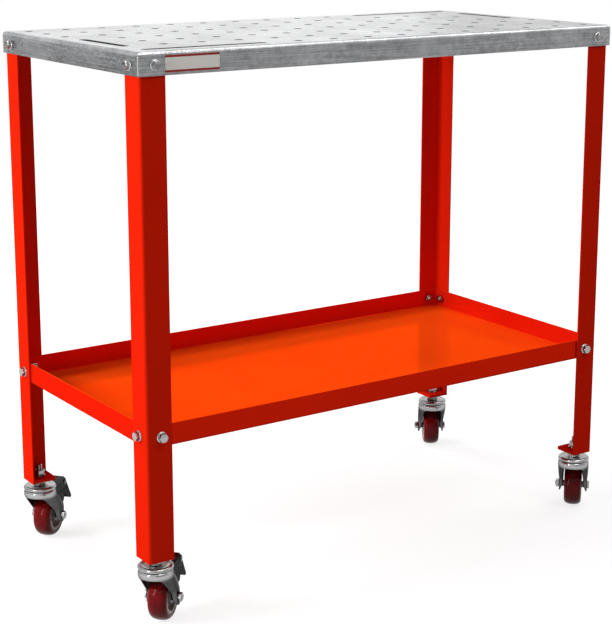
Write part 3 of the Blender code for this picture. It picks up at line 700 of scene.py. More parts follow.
# Painted highlight: the zinc made lighter on the bolts, stems, nuts, races and axle bolts.
bright_zinc = zinc_finish(
    "bright_zinc", HIGHLIT_ZINC_DARK, HIGHLIT_ZINC_LIGHT, Crystal=300.0, Crystal_Share=0.2, Gloss=0.24
)
for node in sorted(frame["nodes"]):
    if not node.startswith(("top_bolt", "shelf_bolt")):
        continue
    if node.startswith("top_bolt"):
        sheets = TOP_SHEET + LEG_SHEET
        outer_low, outer_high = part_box("table_top")
    else:
        sheets = LEG_SHEET + TRAY_SHEET
        outer_low, outer_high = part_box("leg_" + "_".join(node.split("_")[2:4]))
    low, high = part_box(node)
    seat = (low + high) / 2
    way = Vector(INWARDS[node.rsplit("_", 1)[1]])
    for axis, step in enumerate(way):
        if step:
            seat[axis] = outer_low[axis] if step > 0 else outer_high[axis]
    bolt = set_up(bolt_bm(sheets + 2 * SHEET_GAP), Matrix.Translation(seat) @ pointed(way))
    dress(f"flange_{node}", bolt, bright_zinc, "frame", "zinc_plate", node)

# Rim label: a blank printed plate stuck on the front rim beside the left leg's bolt, cream with a dark
# red band above and below.
LABEL_LEFT = 0.044
LABEL_WIDTH = 0.090
LABEL_HEIGHT = 0.0245
LABEL_DROP = 0.0065
LABEL_CORNER = 0.0012
LABEL_STEPS = ((0.0, 0.0), (0.0, 0.00028), (0.00016, 0.0004))
LABEL_BAND = 0.0032
CREAM_SHADE = (0.97, 0.92, 0.84, 1)
CREAM_LIGHT = (0.98, 0.95, 0.90, 1)
BAND_RED = (0.36, 0.018, 0.020, 1)
PRINT_GLOSS = 0.3
PRINT_GLOSS_SPREAD = 0.2


def label_bm(low):
    """A thin plate with cut corners on the front rim, standing out towards -Y with a broken edge."""
    rings = []
    for inset, out in LABEL_STEPS:
        start = (low.x + inset, low.z + inset)
        end = (low.x + LABEL_WIDTH - inset, low.z + LABEL_HEIGHT - inset)
        rings.append([(x, low.y - out, z) for x, z in cut_rectangle(start, end, LABEL_CORNER)])
    return skinned(rings)


def label_finish(middle_z):
    """Printed vinyl: a cream field between two red bands, told apart by the height on the label."""
    material, tree, shader = new_finish("label_print", Specular_IOR_Level=0.3)
    place = place_on(tree)
    off = math_node(tree, "ABSOLUTE", math_node(tree, "SUBTRACT", z_of(tree, place), middle_z))
    band = math_node(tree, "GREATER_THAN", off, LABEL_HEIGHT / 2 - LABEL_BAND)
    speck = noise(tree, place, scale=300.0, detail=3.0)
    field = add_node(tree, "ShaderNodeMixRGB", Fac=speck, Color1=CREAM_SHADE, Color2=CREAM_LIGHT)
    colour = add_node(tree, "ShaderNodeMixRGB", Fac=band, Color1=field.outputs["Color"], Color2=BAND_RED)
    rough = math_node(tree, "MULTIPLY_ADD", speck, PRINT_GLOSS_SPREAD, PRINT_GLOSS)
    set_inputs(tree, shader, Base_Color=colour.outputs["Color"], Roughness=rough)
    return material


label_low = Vector((top_low.x + LABEL_LEFT, top_low.y, top_high.z - LABEL_DROP - LABEL_HEIGHT))
label_print = label_finish(label_low.z + LABEL_HEIGHT / 2)
dress("rim_label", label_bm(label_low), label_print, "frame", "galvanised_sheet")

# Caster stems: a turned steel stem for each caster, threaded above its hex shoulder, riveted over below
# the fork, and held to the foot plate by a hex nut on a washer. Zinc plated.
STEM_DIAMETER = 0.010
STEM_PITCH = 0.0015
STEM_TAPER = 0.0013
STEM_CHAMFER = 0.001
STEM_RELIEF = 0.0004
SHOULDER_ACROSS = 0.019
SHOULDER_Z = 0.1036
SHOULDER_TOP = 0.1136
RIVET_LOW = 0.0927
RIVET_TOP = 0.0957
RIVET_DOME = ((0.004, 0.0), (0.0065, 0.0004), (0.0085, 0.0015), (0.0085, RIVET_TOP - RIVET_LOW))
STEM_NUT_ACROSS = 0.017
STEM_NUT_HEIGHT = 0.009
WASHER_RADIUS = 0.0105
WASHER_HEIGHT = 0.0018
WASHER_EDGE = 0.0003
NUT_BORE = 0.0053
NUT_LEAD = 0.0006
joints = {joint["name"]: joint for joint in frame["joints"]}


def stem_bm(top):
    """Rivet, neck, hex shoulder and thread in one bar, on the swivel's axis."""
    neck = STEM_DIAMETER / 2
    return skinned([
        *(round_ring(radius, RIVET_LOW + rise) for radius, rise in RIVET_DOME),
        round_ring(neck, RIVET_TOP),
        round_ring(neck, SHOULDER_Z),
        *hex_rings(SHOULDER_ACROSS, SHOULDER_Z, SHOULDER_TOP),
        round_ring(neck, SHOULDER_TOP),
        *thread_rings(STEM_DIAMETER, STEM_PITCH, SHOULDER_TOP + STEM_RELIEF, top - STEM_CHAMFER),
        round_ring(neck - STEM_TAPER, top),
    ])


def stem_nut_bm(low):
    """A washer with a chamfered hex nut on it, and the bore through both."""
    washer_top = low + WASHER_HEIGHT
    nut_top = washer_top + STEM_NUT_HEIGHT
    rings = [
        round_ring(NUT_BORE, low),
        round_ring(WASHER_RADIUS - WASHER_EDGE, low),
        round_ring(WASHER_RADIUS, low + WASHER_EDGE),
        round_ring(WASHER_RADIUS, washer_top - WASHER_EDGE),
        round_ring(WASHER_RADIUS - WASHER_EDGE, washer_top),
        *hex_rings(STEM_NUT_ACROSS, washer_top, nut_top),
        round_ring(NUT_BORE + NUT_LEAD, nut_top),
        round_ring(NUT_BORE, nut_top - NUT_LEAD),
    ]
    return skinned(rings, closed=True)


def swivel_axis(corner):
    """The caster's place on the floor, under its stem."""
    x, y, _ = joints[f"swivel_{corner}"]["pos_m"]
    return Matrix.Translation((x, y, 0))


for corner in CORNERS:
    stem = set_up(stem_bm(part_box(f"caster_stem_{corner}")[1].z), swivel_axis(corner))
    dress(f"threaded_stem_{corner}", stem, bright_zinc, "frame", "zinc_plate", f"caster_stem_{corner}")
    nut = set_up(stem_nut_bm(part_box(f"stem_nut_{corner}")[0].z), swivel_axis(corner))
    dress(f"locknut_{corner}", nut, bright_zinc, "frame", "zinc_plate", f"stem_nut_{corner}")

# Swivel races: a pressed cap with a rolled rim sits over each fork's crown and carries the upper row of
# balls. Zinc plated, made lighter by a painted highlight, it stays still while the fork turns under it.
CROWN_RADIUS = 0.028
RACE_BORE = 0.0056
RACE_DISH = 0.0015
RACE_FOOT = 0.0008
RACE_ROLL = 0.0012
RACE_LEAN = 0.001
RACE_RIM = 0.005
RACE_INNER = 0.009
RACE_ROUNDING = (0.0002, 0.0006, 0.0012, 0.0022, 0.0022, 0.002, 0.0002)
CORNER_SHARE = 0.49
CORNER_STEPS = 4


def softened(outline, radii, steps=CORNER_STEPS):
    """A closed outline, each corner rounded by its own radius but by less than half of its sides."""
    curve = []
    for i, radius in enumerate(radii):
        corner = Vector(outline[i])
        before, after = Vector(outline[i - 1]) - corner, Vector(outline[(i + 1) % len(outline)]) - corner
        start = corner + before.normalized() * min(radius, before.length * CORNER_SHARE)
        end = corner + after.normalized() * min(radius, after.length * CORNER_SHARE)
        for step in range(steps + 1):
            t = step / steps
            curve.append((1 - t) ** 2 * start + 2 * t * (1 - t) * corner + t * t * end)
    return curve


def turned_bm(profile):
    """A closed outline of radius and height, turned about the Z axis."""
    return skinned([round_ring(radius, z) for radius, z in profile], closed=True)


def race_outline(low, high):
    """Section of a race cap: straight foot, leaning side, rolled rim and sunk middle."""
    outline = [
        (RACE_BORE, low),
        (CROWN_RADIUS - RACE_FOOT, low),
        (CROWN_RADIUS, low + RACE_ROLL),
        (CROWN_RADIUS - RACE_LEAN, high - RACE_ROLL),
        (CROWN_RADIUS - RACE_RIM, high),
        (CROWN_RADIUS - RACE_INNER, high - RACE_DISH),
        (RACE_BORE, high - RACE_DISH),
    ]
    return softened(outline, RACE_ROUNDING)


for corner in CORNERS:
    low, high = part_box(f"race_cap_{corner}")
    race = set_up(turned_bm(race_outline(low.z, high.z)), swivel_axis(corner))
    dress(f"swivel_race_{corner}", race, bright_zinc, "frame", "zinc_plate", f"race_cap_{corner}")

# Forks: pressed from one steel sheet, a round crown with a skirt and two legs drawn down to the axle,
# zinc plated, with a painted highlight that lightens the crown and painted shade that darkens the legs.
# The braked forks also have ears for the pedal's pin and a roof plate between them, in a darker zinc
# that is painted shade.
WHEEL_RADIUS = 0.038
WHEEL_TRAIL = 0.033
AXLE_Z = WHEEL_RADIUS
CROWN_Z = 0.0985
SKIRT_Z = 0.0865
FORK_FLAT_Z = 0.0467
CROWN_ROUND = 0.0058
FORK_BORE = 0.0056
FORK_SHEET = 0.0025
FORK_OUTER = 0.0255
FORK_EDGE = 0.0195
FORK_END_RADIUS = 0.013
FORK_SIDES = 20
FORK_LEG_SIDES = 6
FORK_LEG_ROWS = 5
FORK_LEG_SPREAD = FORK_LEG_SIDES * math.pi / FORK_SIDES
FORK_SMOOTHING = 2
PIN_REACH = 0.056
PIN_Z = 0.0913
EAR_INNER = 0.0195
EAR_RADIUS = 0.0065
EAR_STEPS = 8
EAR_FRONT = 0.018
EAR_SINK = 0.0015
EAR_REAR = 0.051
EAR_LOW = 0.0575
EAR_CUT = 0.002
ROOF_REAR = 0.045
ROOF_DROP = 0.0028
PLATE_EDGE = 0.0005
PLATE_EDGE_STEPS = 2
PLATE_CORNER = math.radians(60)
SHADE_ZINC_SLOT = 1
# Painted highlight on the fork's crown: how far it lightens, and how wide it fades at the skirt.
HIGHLIGHT_FADE = 0.004
HIGHLIGHT_TONE = 0.75
FORK_MARKS_SHARE = 0.2
ZINC_EDGE = 0.36
# The fork's range: its dark end is painted shade down the legs, its light end a painted highlight round the
# crown.
FORK_LEG_PAINTED_SHADE = (0.060, 0.060, 0.063)
FORK_CROWN_PAINTED_HIGHLIGHT = (0.44, 0.44, 0.445)
# Painted shade: a darker zinc for the brake ears, roof plate and pedal.
SHADE_ZINC_DARK = (0.030, 0.030, 0.032)
SHADE_ZINC_LIGHT = (0.100, 0.100, 0.099)
PLATE_MARKS = {
    "Crystal": 260.0, "Crystal_Share": 0.2, "Streak_Share": 0.3, "Gloss": 0.13, "Gloss_Spread": 0.12,
}


def fork_leg_point(share, row):
    """A point of a leg: front (-1) to rear (1) across it, and row by row from the skirt down to the end."""
    at_edge = abs(share) == 1
    low_x = WHEEL_TRAIL + share * FORK_END_RADIUS
    low_y = FORK_EDGE if at_edge else FORK_OUTER
    if row > FORK_LEG_ROWS:
        return low_x, low_y, AXLE_Z - FORK_END_RADIUS * math.sqrt(1 - share * share)
    t = row / FORK_LEG_ROWS
    rear_lead = max(0, share) * (1 - (1 - t) ** 3 - t)
    top_x = CROWN_RADIUS * math.sin(share * FORK_LEG_SPREAD)
    top_y = CROWN_RADIUS * math.cos(share * FORK_LEG_SPREAD)
    spread = math.sin(t * math.pi / 2) if at_edge else t**2
    x = top_x + (low_x - top_x) * (t + rear_lead)
    y = top_y + (low_y - top_y) * spread
    return x, y, SKIRT_Z + (FORK_FLAT_Z - SKIRT_Z) * t


def drawn_out(bm, edges):
    """Extrudes a row of open edges in place, and gives the new edges and points."""
    made = bmesh.ops.extrude_edge_only(bm, edges=edges)["geom"]
    new_edges = [item for item in made if isinstance(item, bmesh.types.BMEdge)]
    new_verts = [item for item in made if isinstance(item, bmesh.types.BMVert)]
    return new_edges, new_verts


def pressed_fork():
    """Crown, skirt and legs as one smooth pressed sheet."""
    bm = bmesh.new()
    bore = bmesh.ops.create_circle(bm, cap_ends=False, segments=FORK_SIDES, radius=FORK_BORE)["verts"]
    bmesh.ops.translate(bm, verts=bore, vec=(0, 0, CROWN_Z))
    edges = list(bm.edges)
    rings = [
        (CROWN_RADIUS - CROWN_ROUND, CROWN_Z),
        (CROWN_RADIUS - CROWN_ROUND / 4, CROWN_Z - CROWN_ROUND / 4),
        (CROWN_RADIUS, CROWN_Z - CROWN_ROUND),
        (CROWN_RADIUS, SKIRT_Z),
    ]
    for radius, z in rings:
        edges, verts = drawn_out(bm, edges)
        for vert in verts:
            vert.co = (vert.co.xy.normalized() * radius).to_3d() + Vector((0, 0, z))
    for side in (1, -1):
        leg = []
        for edge in edges:
            middle = (edge.verts[0].co + edge.verts[1].co) / 2
            if abs(math.atan2(middle.x, side * middle.y)) < FORK_LEG_SPREAD:
                leg.append(edge)
        for row in range(1, FORK_LEG_ROWS + 2):
            leg, verts = drawn_out(bm, leg)
            verts.sort(key=lambda vert: vert.co.x)
            for step, vert in enumerate(verts):
                x, y, z = fork_leg_point(2 * step / FORK_LEG_SIDES - 1, row)
                vert.co = (x, side * y, z)
    shape = in_scene("fork", bm)
    smooth = shape.modifiers.new("Pressed", "SUBSURF")
    smooth.levels = smooth.render_levels = FORK_SMOOTHING
    return thickened(in_scene("sheet", applied(shape)), FORK_SHEET)


def add_plate(bm, outline, thickness, placed, finish_slot=0):
    """A flat plate of the given outline in XY, with broken edges, put in its place and added to the mesh."""
    plate = bmesh.new()
    face = plate.faces.new([plate.verts.new(point) for point in at_height(outline, -thickness / 2)])
    made = bmesh.ops.extrude_face_region(plate, geom=[face])["geom"]
    raised = [item for item in made if isinstance(item, bmesh.types.BMVert)]
    bmesh.ops.translate(plate, verts=raised, vec=(0, 0, thickness))
    bmesh.ops.recalc_face_normals(plate, faces=plate.faces)
    rims = [edge for edge in plate.edges if abs(edge.calc_face_angle(0)) > PLATE_CORNER]
    rims = [edge for edge in rims if abs(edge.verts[0].co.z - edge.verts[1].co.z) < thickness / 2]
    rounded(plate, rims, PLATE_EDGE, PLATE_EDGE_STEPS)
    set_up(plate, placed)
    for side in plate.faces:
        side.material_index = finish_slot
    mesh = bpy.data.meshes.new("plate")
    plate.to_mesh(mesh)
    plate.free()
    bm.from_mesh(mesh)
    bpy.data.meshes.remove(mesh)


def ear_outline():
    """Side view of a brake ear: from the skirt back round the pin and down the leg's rear edge."""
    return [
        (EAR_FRONT, SKIRT_Z),
        (EAR_FRONT, PIN_Z + EAR_RADIUS - EAR_SINK),
        *arc((PIN_REACH, PIN_Z), EAR_RADIUS, 90, -30, EAR_STEPS),
        (EAR_REAR, EAR_LOW + EAR_CUT),
        (EAR_REAR - EAR_CUT, EAR_LOW),
        (WHEEL_TRAIL, EAR_LOW),
    ]


def add_brake_ears(bm):
    """The two ears and the roof plate that ties them, over the wheel."""
    upright = Matrix.Rotation(math.pi / 2, 4, "X")
    for side in (1, -1):
        middle = side * (EAR_INNER + FORK_SHEET / 2)
        add_plate(bm, ear_outline(), FORK_SHEET, Matrix.Translation((0, middle, 0)) @ upright, SHADE_ZINC_SLOT)
    roof = [(EAR_FRONT, -EAR_INNER), (ROOF_REAR, -EAR_INNER), (ROOF_REAR, EAR_INNER), (EAR_FRONT, EAR_INNER)]
    add_plate(bm, roof, FORK_SHEET, Matrix.Translation((0, 0, CROWN_Z - ROOF_DROP)), SHADE_ZINC_SLOT)


def caster_frame(corner):
    """The caster's frame on the floor: X runs back from the stem towards the axle."""
    stem, axle = Vector(joints[f"swivel_{corner}"]["pos_m"]), Vector(joints[f"roll_{corner}"]["pos_m"])
    trail = axle - stem
    return swivel_axis(corner) @ Matrix.Rotation(math.atan2(trail.y, trail.x), 4, "Z")


def crown_highlight_finish():
    """Plated steel with a painted highlight round the crown, fading into painted shade down the legs."""
    material, tree, shader = new_finish("fork_painted_highlight", Metallic=1.0, Specular_Tint=grey(ZINC_EDGE))
    marks = marked(tree, shader, zinc_bloom, ZINC_RELIEF, ZINC_DEPTH, **PLATE_MARKS)
    # Painted highlight: lighter above the skirt, darker below it.
    crown_highlight = add_node(
        tree, "ShaderNodeMapRange", {"interpolation_type": "SMOOTHSTEP"}, Value=z_of(tree, place_on(tree)),
        From_Min=SKIRT_Z - HIGHLIGHT_FADE, From_Max=SKIRT_Z + HIGHLIGHT_FADE, To_Min=0.0, To_Max=HIGHLIGHT_TONE,
    )
    tone = math_node(tree, "MULTIPLY_ADD", marks, FORK_MARKS_SHARE, crown_highlight.outputs["Result"])
    set_inputs(tree, shader, Base_Color=shaded(tree, tone, FORK_LEG_PAINTED_SHADE, FORK_CROWN_PAINTED_HIGHLIGHT))
    return material


fork_zinc = crown_highlight_finish()
# Painted shade on the ears, roof plate and pedal: a darker copy of the zinc.
zinc_in_painted_shade = zinc_finish(
    "zinc_in_painted_shade", SHADE_ZINC_DARK, SHADE_ZINC_LIGHT, ZINC_EDGE, Crystal=260.0, Crystal_Share=0.2, Gloss=0.26
)
braked = [corner for corner in CORNERS if f"brake_{corner}" in joints]
for corner in CORNERS:
    fork = pressed_fork()
    if corner in braked:
        add_brake_ears(fork)
    set_up(fork, caster_frame(corner))
    piece = dress(
        f"pressed_fork_{corner}", fork, fork_zinc, f"caster_{corner}", "zinc_plate", f"fork_{corner}"
    )
    # The ears and roof plate take the darker zinc, which is painted shade.
    piece.data.materials.append(zinc_in_painted_shade)

# Axles: a hex bolt through each fork's legs with a nut drawn up on it, and the steel tube between the legs
# that the wheel turns on. Zinc plated: the bolts in a lighter zinc that is painted highlight, the tubes in
# a dark zinc that is painted shade.
AXLE_DIAMETER = 0.008
AXLE_PITCH = 0.00125
AXLE_ACROSS = 0.013
AXLE_HEAD_HEIGHT = 0.0038
AXLE_DISH_EDGE = 0.0040
AXLE_DISH_FLOOR = 0.0028
AXLE_NUT_HEIGHT = 0.0058
AXLE_NUT_SINK = 0.0008
AXLE_THREAD = 0.0008
AXLE_TIP = 0.0012
TUBE_RADIUS = 0.006
TUBE_BORE = 0.0043
TUBE_HALF = 0.0227
TUBE_EDGE = 0.0003
# Painted shade: a dark copy of the zinc, standing in for dark surroundings mirrored in the metal.
SHADED_PLATE_DARK = (0.026, 0.026, 0.028)
SHADED_PLATE_LIGHT = (0.105, 0.106, 0.108)


def axle_bm():
    """Nut and thread end below, head above, on the Z axis about the wheel's middle."""
    shank = AXLE_DIAMETER / 2
    nut_end = -FORK_OUTER - AXLE_NUT_HEIGHT
    head = FORK_OUTER + AXLE_HEAD_HEIGHT
    return skinned([
        round_ring(shank - TIP_TAPER, nut_end - AXLE_TIP),
        *thread_rings(AXLE_DIAMETER, AXLE_PITCH, nut_end - AXLE_THREAD, nut_end + THREAD_SINK),
        round_ring(shank + AXLE_NUT_SINK, nut_end),
        *hex_rings(AXLE_ACROSS, nut_end, -FORK_OUTER),
        round_ring(shank, -FORK_OUTER),
        round_ring(shank, FORK_OUTER),
        *hex_rings(AXLE_ACROSS, FORK_OUTER, head),
        round_ring(AXLE_DISH_EDGE, head),
        round_ring(AXLE_DISH_FLOOR, head - DISH_DEPTH),
    ])


def tube_outline():
    """Section of the axle's tube."""
    half = TUBE_HALF
    outline = [(TUBE_BORE, -half), (TUBE_RADIUS, -half), (TUBE_RADIUS, half), (TUBE_BORE, half)]
    return softened(outline, [TUBE_EDGE] * len(outline), steps=2)


def on_axle(corner, nut_side=1):
    """The axle's frame, lying across the fork, with the nut on one side or the other."""
    lying = Matrix.Rotation(nut_side * math.pi / 2, 4, "X")
    return caster_frame(corner) @ Matrix.Translation((WHEEL_TRAIL, 0, AXLE_Z)) @ lying


# Painted shade: the dark zinc for the axle tubes and pedal pins.
zinc_plate = zinc_finish("zinc_plate", SHADED_PLATE_DARK, SHADED_PLATE_LIGHT, **PLATE_MARKS)
for corner in CORNERS:
    axle = set_up(axle_bm(), on_axle(corner, -1 if corner in braked else 1))
    dress(f"axle_bolt_{corner}", axle, bright_zinc, f"caster_{corner}", "zinc_plate", f"axle_{corner}")
    tube = set_up(turned_bm(tube_outline()), on_axle(corner))
    dress(f"axle_tube_{corner}", tube, zinc_plate, f"caster_{corner}", "zinc_plate", f"axle_sleeve_{corner}")

# Wheels: a grey moulded centre with a rim, a recessed web and a boss, inside a tyre of dark red
# polyurethane cast round it and polished by the mould.
WHEEL_HALF = 0.0155
TREAD_DEPTH = 0.0095
TYRE_CROWN = 0.0085
TYRE_SQUARENESS = 0.85
TYRE_STEPS = 28
TYRE_MIRROR = 0.10
HUB_INSET = 0.0005
HUB_RIM = 0.0055
HUB_WEB = 0.006
HUB_BORE = 0.0066
HUB_BOSS = 0.0111
HUB_EDGE = 0.0009
RIM_DRAFT = 0.0015
BOSS_DRAFT = 0.001
SEAT_GAP = 0.0002
SCUFF_DEPTH = 0.0001
SCUFF_GLOSS_SPREAD = 0.25
MOULD_MIRROR = 0.5
MAROON_SHADE = (0.095, 0.0016, 0.0026)
MAROON_LIGHT = (0.225, 0.0032, 0.0040)
HUB_SHADE = (0.29, 0.275, 0.25)
HUB_LIGHT = (0.44, 0.42, 0.385)


def tyre_outline():
    """Half section of the tyre: a crowned tread that rolls over round shoulders into the side walls."""
    points = [(WHEEL_RADIUS - TREAD_DEPTH, WHEEL_HALF), (WHEEL_RADIUS - TREAD_DEPTH, -WHEEL_HALF)]
    for step in range(TYRE_STEPS + 1):
        angle = math.pi * (step / TYRE_STEPS - 0.5)
        across = math.copysign(abs(math.sin(angle)) ** TYRE_SQUARENESS, angle)
        rise = abs(math.cos(angle)) ** TYRE_SQUARENESS
        points.append((WHEEL_RADIUS - TYRE_CROWN * (1 - rise), WHEEL_HALF * across))
    return points


def centre_outline():
    """Half section of the wheel's centre: rim, web and boss."""
    half = WHEEL_HALF - HUB_INSET
    outer = WHEEL_RADIUS - TREAD_DEPTH - SEAT_GAP
    inner = outer - HUB_RIM
    web_outer, web_inner = inner - RIM_DRAFT, HUB_BOSS + BOSS_DRAFT
    outline = [
        (outer, half), (outer, -half), (inner, -half), (web_outer, -HUB_WEB), (web_inner, -HUB_WEB),
        (HUB_BOSS, -half), (HUB_BORE, -half), (HUB_BORE, half), (HUB_BOSS, half),
        (web_inner, HUB_WEB), (web_outer, HUB_WEB), (inner, half),
    ]
    return softened(outline, [HUB_EDGE] * len(outline))


def scuff_effect():
    """Handling marks on moulded pieces: fine scratches and dull clouds."""
    tree, given = new_effect("scuffs", Size=120.0, Gloss=0.3)
    place = place_on(tree)
    cloud = noise(tree, place, scale=given["Size"], detail=4.0)
    fine = noise(tree, place, scale=2200.0, detail=2.0)
    rough = math_node(tree, "ADD", swing(tree, cloud, SCUFF_GLOSS_SPREAD), given["Gloss"])
    return put_out(tree, cloud, rough, fine)


def moulded_finish(name, shade, light, size, gloss, relief, mirror=MOULD_MIRROR):
    """A moulded or cast piece with its handling marks."""
    material, tree, shader = new_finish(name, Specular_IOR_Level=mirror)
    tone = marked(tree, shader, scuffs, relief, SCUFF_DEPTH, Size=size, Gloss=gloss)
    set_inputs(tree, shader, Base_Color=shaded(tree, tone, shade, light))
    return material


scuffs = scuff_effect()
maroon_tyre = moulded_finish(
    "maroon_polyurethane", MAROON_SHADE, MAROON_LIGHT, size=90.0, gloss=0.10, relief=0.03, mirror=TYRE_MIRROR
)
grey_centre = moulded_finish("grey_moulding", HUB_SHADE, HUB_LIGHT, size=160.0, gloss=0.42, relief=0.15)
for corner in CORNERS:
    tyre = set_up(turned_bm(tyre_outline()), on_axle(corner))
    dress(
        f"tyre_{corner}", tyre, maroon_tyre, f"wheel_{corner}", "maroon_polyurethane", f"wheel_tread_{corner}"
    )
    centre = set_up(turned_bm(centre_outline()), on_axle(corner))
    dress(f"wheel_centre_{corner}", centre, grey_centre, f"wheel_{corner}", "hub_grey", f"wheel_hub_{corner}")

# Brakes: on the two left casters a pedal folded from plated sheet, darkened by painted shade, rocks on a
# riveted pin through the fork's ears, and presses a rubber shoe under its plate onto the tyre.
PEDAL_SHEET = 0.002
PEDAL_FOLD = 0.0024
PEDAL_FOLD_STEPS = 4
PEDAL_PLATES = 4
PEDAL_HALF = 0.0189
PEDAL_TAB = 0.007
PEDAL_FRONT_RISE = 0.005
PEDAL_LENGTH = 0.046
PEDAL_SLOPE = math.radians(60)
PEDAL_LIP = 0.005
PEDAL_CHEEK_DROP = 0.024
PEDAL_TRAVEL = math.radians(10)
PIN_RADIUS = 0.003
PIN_HEAD = ((0.0047, 0.0001), (0.0050, 0.0006), (0.0043, 0.0014), (0.0025, 0.0019), (0.0005, 0.0020))
SHOE_WIDTH = 0.024
SHOE_GAP = 0.002
SHOE_BACK = 1.05 * PEDAL_SHEET
SHOE_START = 34
SHOE_END = 58
SHOE_STEPS = 8
RUBBER_SHADE = (0.012, 0.012, 0.012)
RUBBER_LIGHT = (0.028, 0.027, 0.026)


def pedal_outline():
    """Side view of the pedal about its pin: a tab over the pin and a long plate sloping to the rear."""
    slope = Vector((math.cos(PEDAL_SLOPE), -math.sin(PEDAL_SLOPE)))
    lip = Vector((-slope.y, slope.x)) * PEDAL_LIP
    crest = Vector((PEDAL_TAB, PEDAL_TAB))
    knee = crest + Vector((PEDAL_TAB, -PEDAL_TAB))
    tip = knee + slope * PEDAL_LENGTH
    front_top = Vector((-PEDAL_TAB, PEDAL_FRONT_RISE))
    cheek_low = Vector((PEDAL_TAB / 2, -PEDAL_CHEEK_DROP))
    front_low = Vector((-PEDAL_TAB, -PEDAL_TAB))
    return [front_top, crest, knee, tip, tip - lip, cheek_low, front_low]


def pedal_bm():
    """The folded pedal, open towards the wheel, in the caster's frame."""
    bm = bmesh.new()
    cheeks = []
    for side in (-1, 1):
        points = [(PIN_REACH + p.x, side * PEDAL_HALF, PIN_Z + p.y) for p in pedal_outline()]
        cheeks.append([bm.verts.new(point) for point in points])
        bm.faces.new(cheeks[-1])
    left, right = cheeks
    for first in range(PEDAL_PLATES):
        bm.faces.new((left[first], left[first + 1], right[first + 1], right[first]))
    bmesh.ops.recalc_face_normals(bm, faces=bm.faces)
    outward = sum((face.calc_center_median().y * face.normal.y for face in bm.faces), 0.0)
    if outward < 0:
        bmesh.ops.reverse_faces(bm, faces=bm.faces)
    folds = [edge for edge in bm.edges if len(edge.link_faces) == 2]
    rounded(bm, folds, PEDAL_FOLD, PEDAL_FOLD_STEPS)
    return thickened(as_object("pedal", bm), PEDAL_SHEET, even=False)


def shoe_bm():
    """The rubber shoe: its face fits the tyre when the pedal is down, its back lies on the pedal's plate."""
    wheel = Vector((WHEEL_TRAIL - PIN_REACH, AXLE_Z - PIN_Z))
    released = Matrix.Rotation(PEDAL_TRAVEL, 2)
    tread = arc((0, 0), WHEEL_RADIUS + SHOE_GAP, SHOE_START, SHOE_END, SHOE_STEPS)
    face = [released @ (wheel + Vector(point)) for point in tread]
    _, _, knee, tip, *_ = pedal_outline()
    slope = (tip - knee).normalized()
    back = knee - Vector((SHOE_BACK, SHOE_BACK))
    ends = [back + slope * slope.dot(point - back) for point in (face[-1], face[0])]
    outline = [(PIN_REACH + p.x, PIN_Z + p.y) for p in [*face, *ends]]
    bm = bmesh.new()
    add_plate(bm, outline, SHOE_WIDTH, Matrix.Rotation(math.pi / 2, 4, "X"))
    return bm


def pin_bm():
    """The pivot pin with a low domed head outside each ear, on the Z axis."""
    face = EAR_INNER + FORK_SHEET
    half = [(PIN_RADIUS, face), *((radius, face + rise) for radius, rise in PIN_HEAD)]
    return skinned([round_ring(r, -z) for r, z in reversed(half)] + [round_ring(r, z) for r, z in half])


shoe_rubber = moulded_finish("brake_rubber", RUBBER_SHADE, RUBBER_LIGHT, size=200.0, gloss=0.65, relief=0.3)
for corner in braked:
    pedal = set_up(pedal_bm(), caster_frame(corner))
    dress(f"foot_pedal_{corner}", pedal, zinc_in_painted_shade, f"pedal_{corner}", "zinc_plate", f"brake_pedal_{corner}")
    shoe = set_up(shoe_bm(), caster_frame(corner))
    dress(f"shoe_pad_{corner}", shoe, shoe_rubber, f"pedal_{corner}", "brake_rubber", f"brake_shoe_{corner}")
    lying = Matrix.Translation((PIN_REACH, 0, PIN_Z)) @ Matrix.Rotation(math.pi / 2, 4, "X")
    pin = set_up(pin_bm(), caster_frame(corner) @ lying)
    # The pin takes the dark zinc, which is painted shade.
    dress(f"pivot_pin_{corner}", pin, zinc_plate, f"caster_{corner}", "zinc_plate", f"pedal_pin_{corner}")

# Studio: a wide white floor, which keeps the table's shadow, under a white surround. Large lamps behind
# diffusers stand to the left and at the back, a narrow strip, a panel and two weaker lamps fill in, and
# two cards give the bright metal something darker to mirror.
FLOOR_SIZE = 14.0
FLOOR_WHITE = 0.26
FLOOR_ROUGH = 0.9
FLOOR_GLOW = 0.80
SHADOW_REACH = (0.75, 1.9)
AMBIENT = 0.04
CARD_GREY = 0.03


def seen_directly(tree):
    """1 where the camera, or a reflection or a view through glass, meets the surround, otherwise 0."""
    path = add_node(tree, "ShaderNodeLightPath").outputs
    mirrored = math_node(tree, "MAXIMUM", path["Is Glossy Ray"], path["Is Transmission Ray"])
    return math_node(tree, "MAXIMUM", path["Is Camera Ray"], mirrored)


def white_surround():
    """The world: white where it is seen, and otherwise only a faint even light on the table."""
    world = bpy.data.worlds.new("white_surround")
    world.use_nodes = True
    tree = world.node_tree
    level = math_node(tree, "MULTIPLY_ADD", seen_directly(tree), 1.0 - AMBIENT, AMBIENT)
    set_inputs(tree, tree.nodes["Background"], Color=grey(1.0), Strength=level)
    bpy.context.scene.world = world


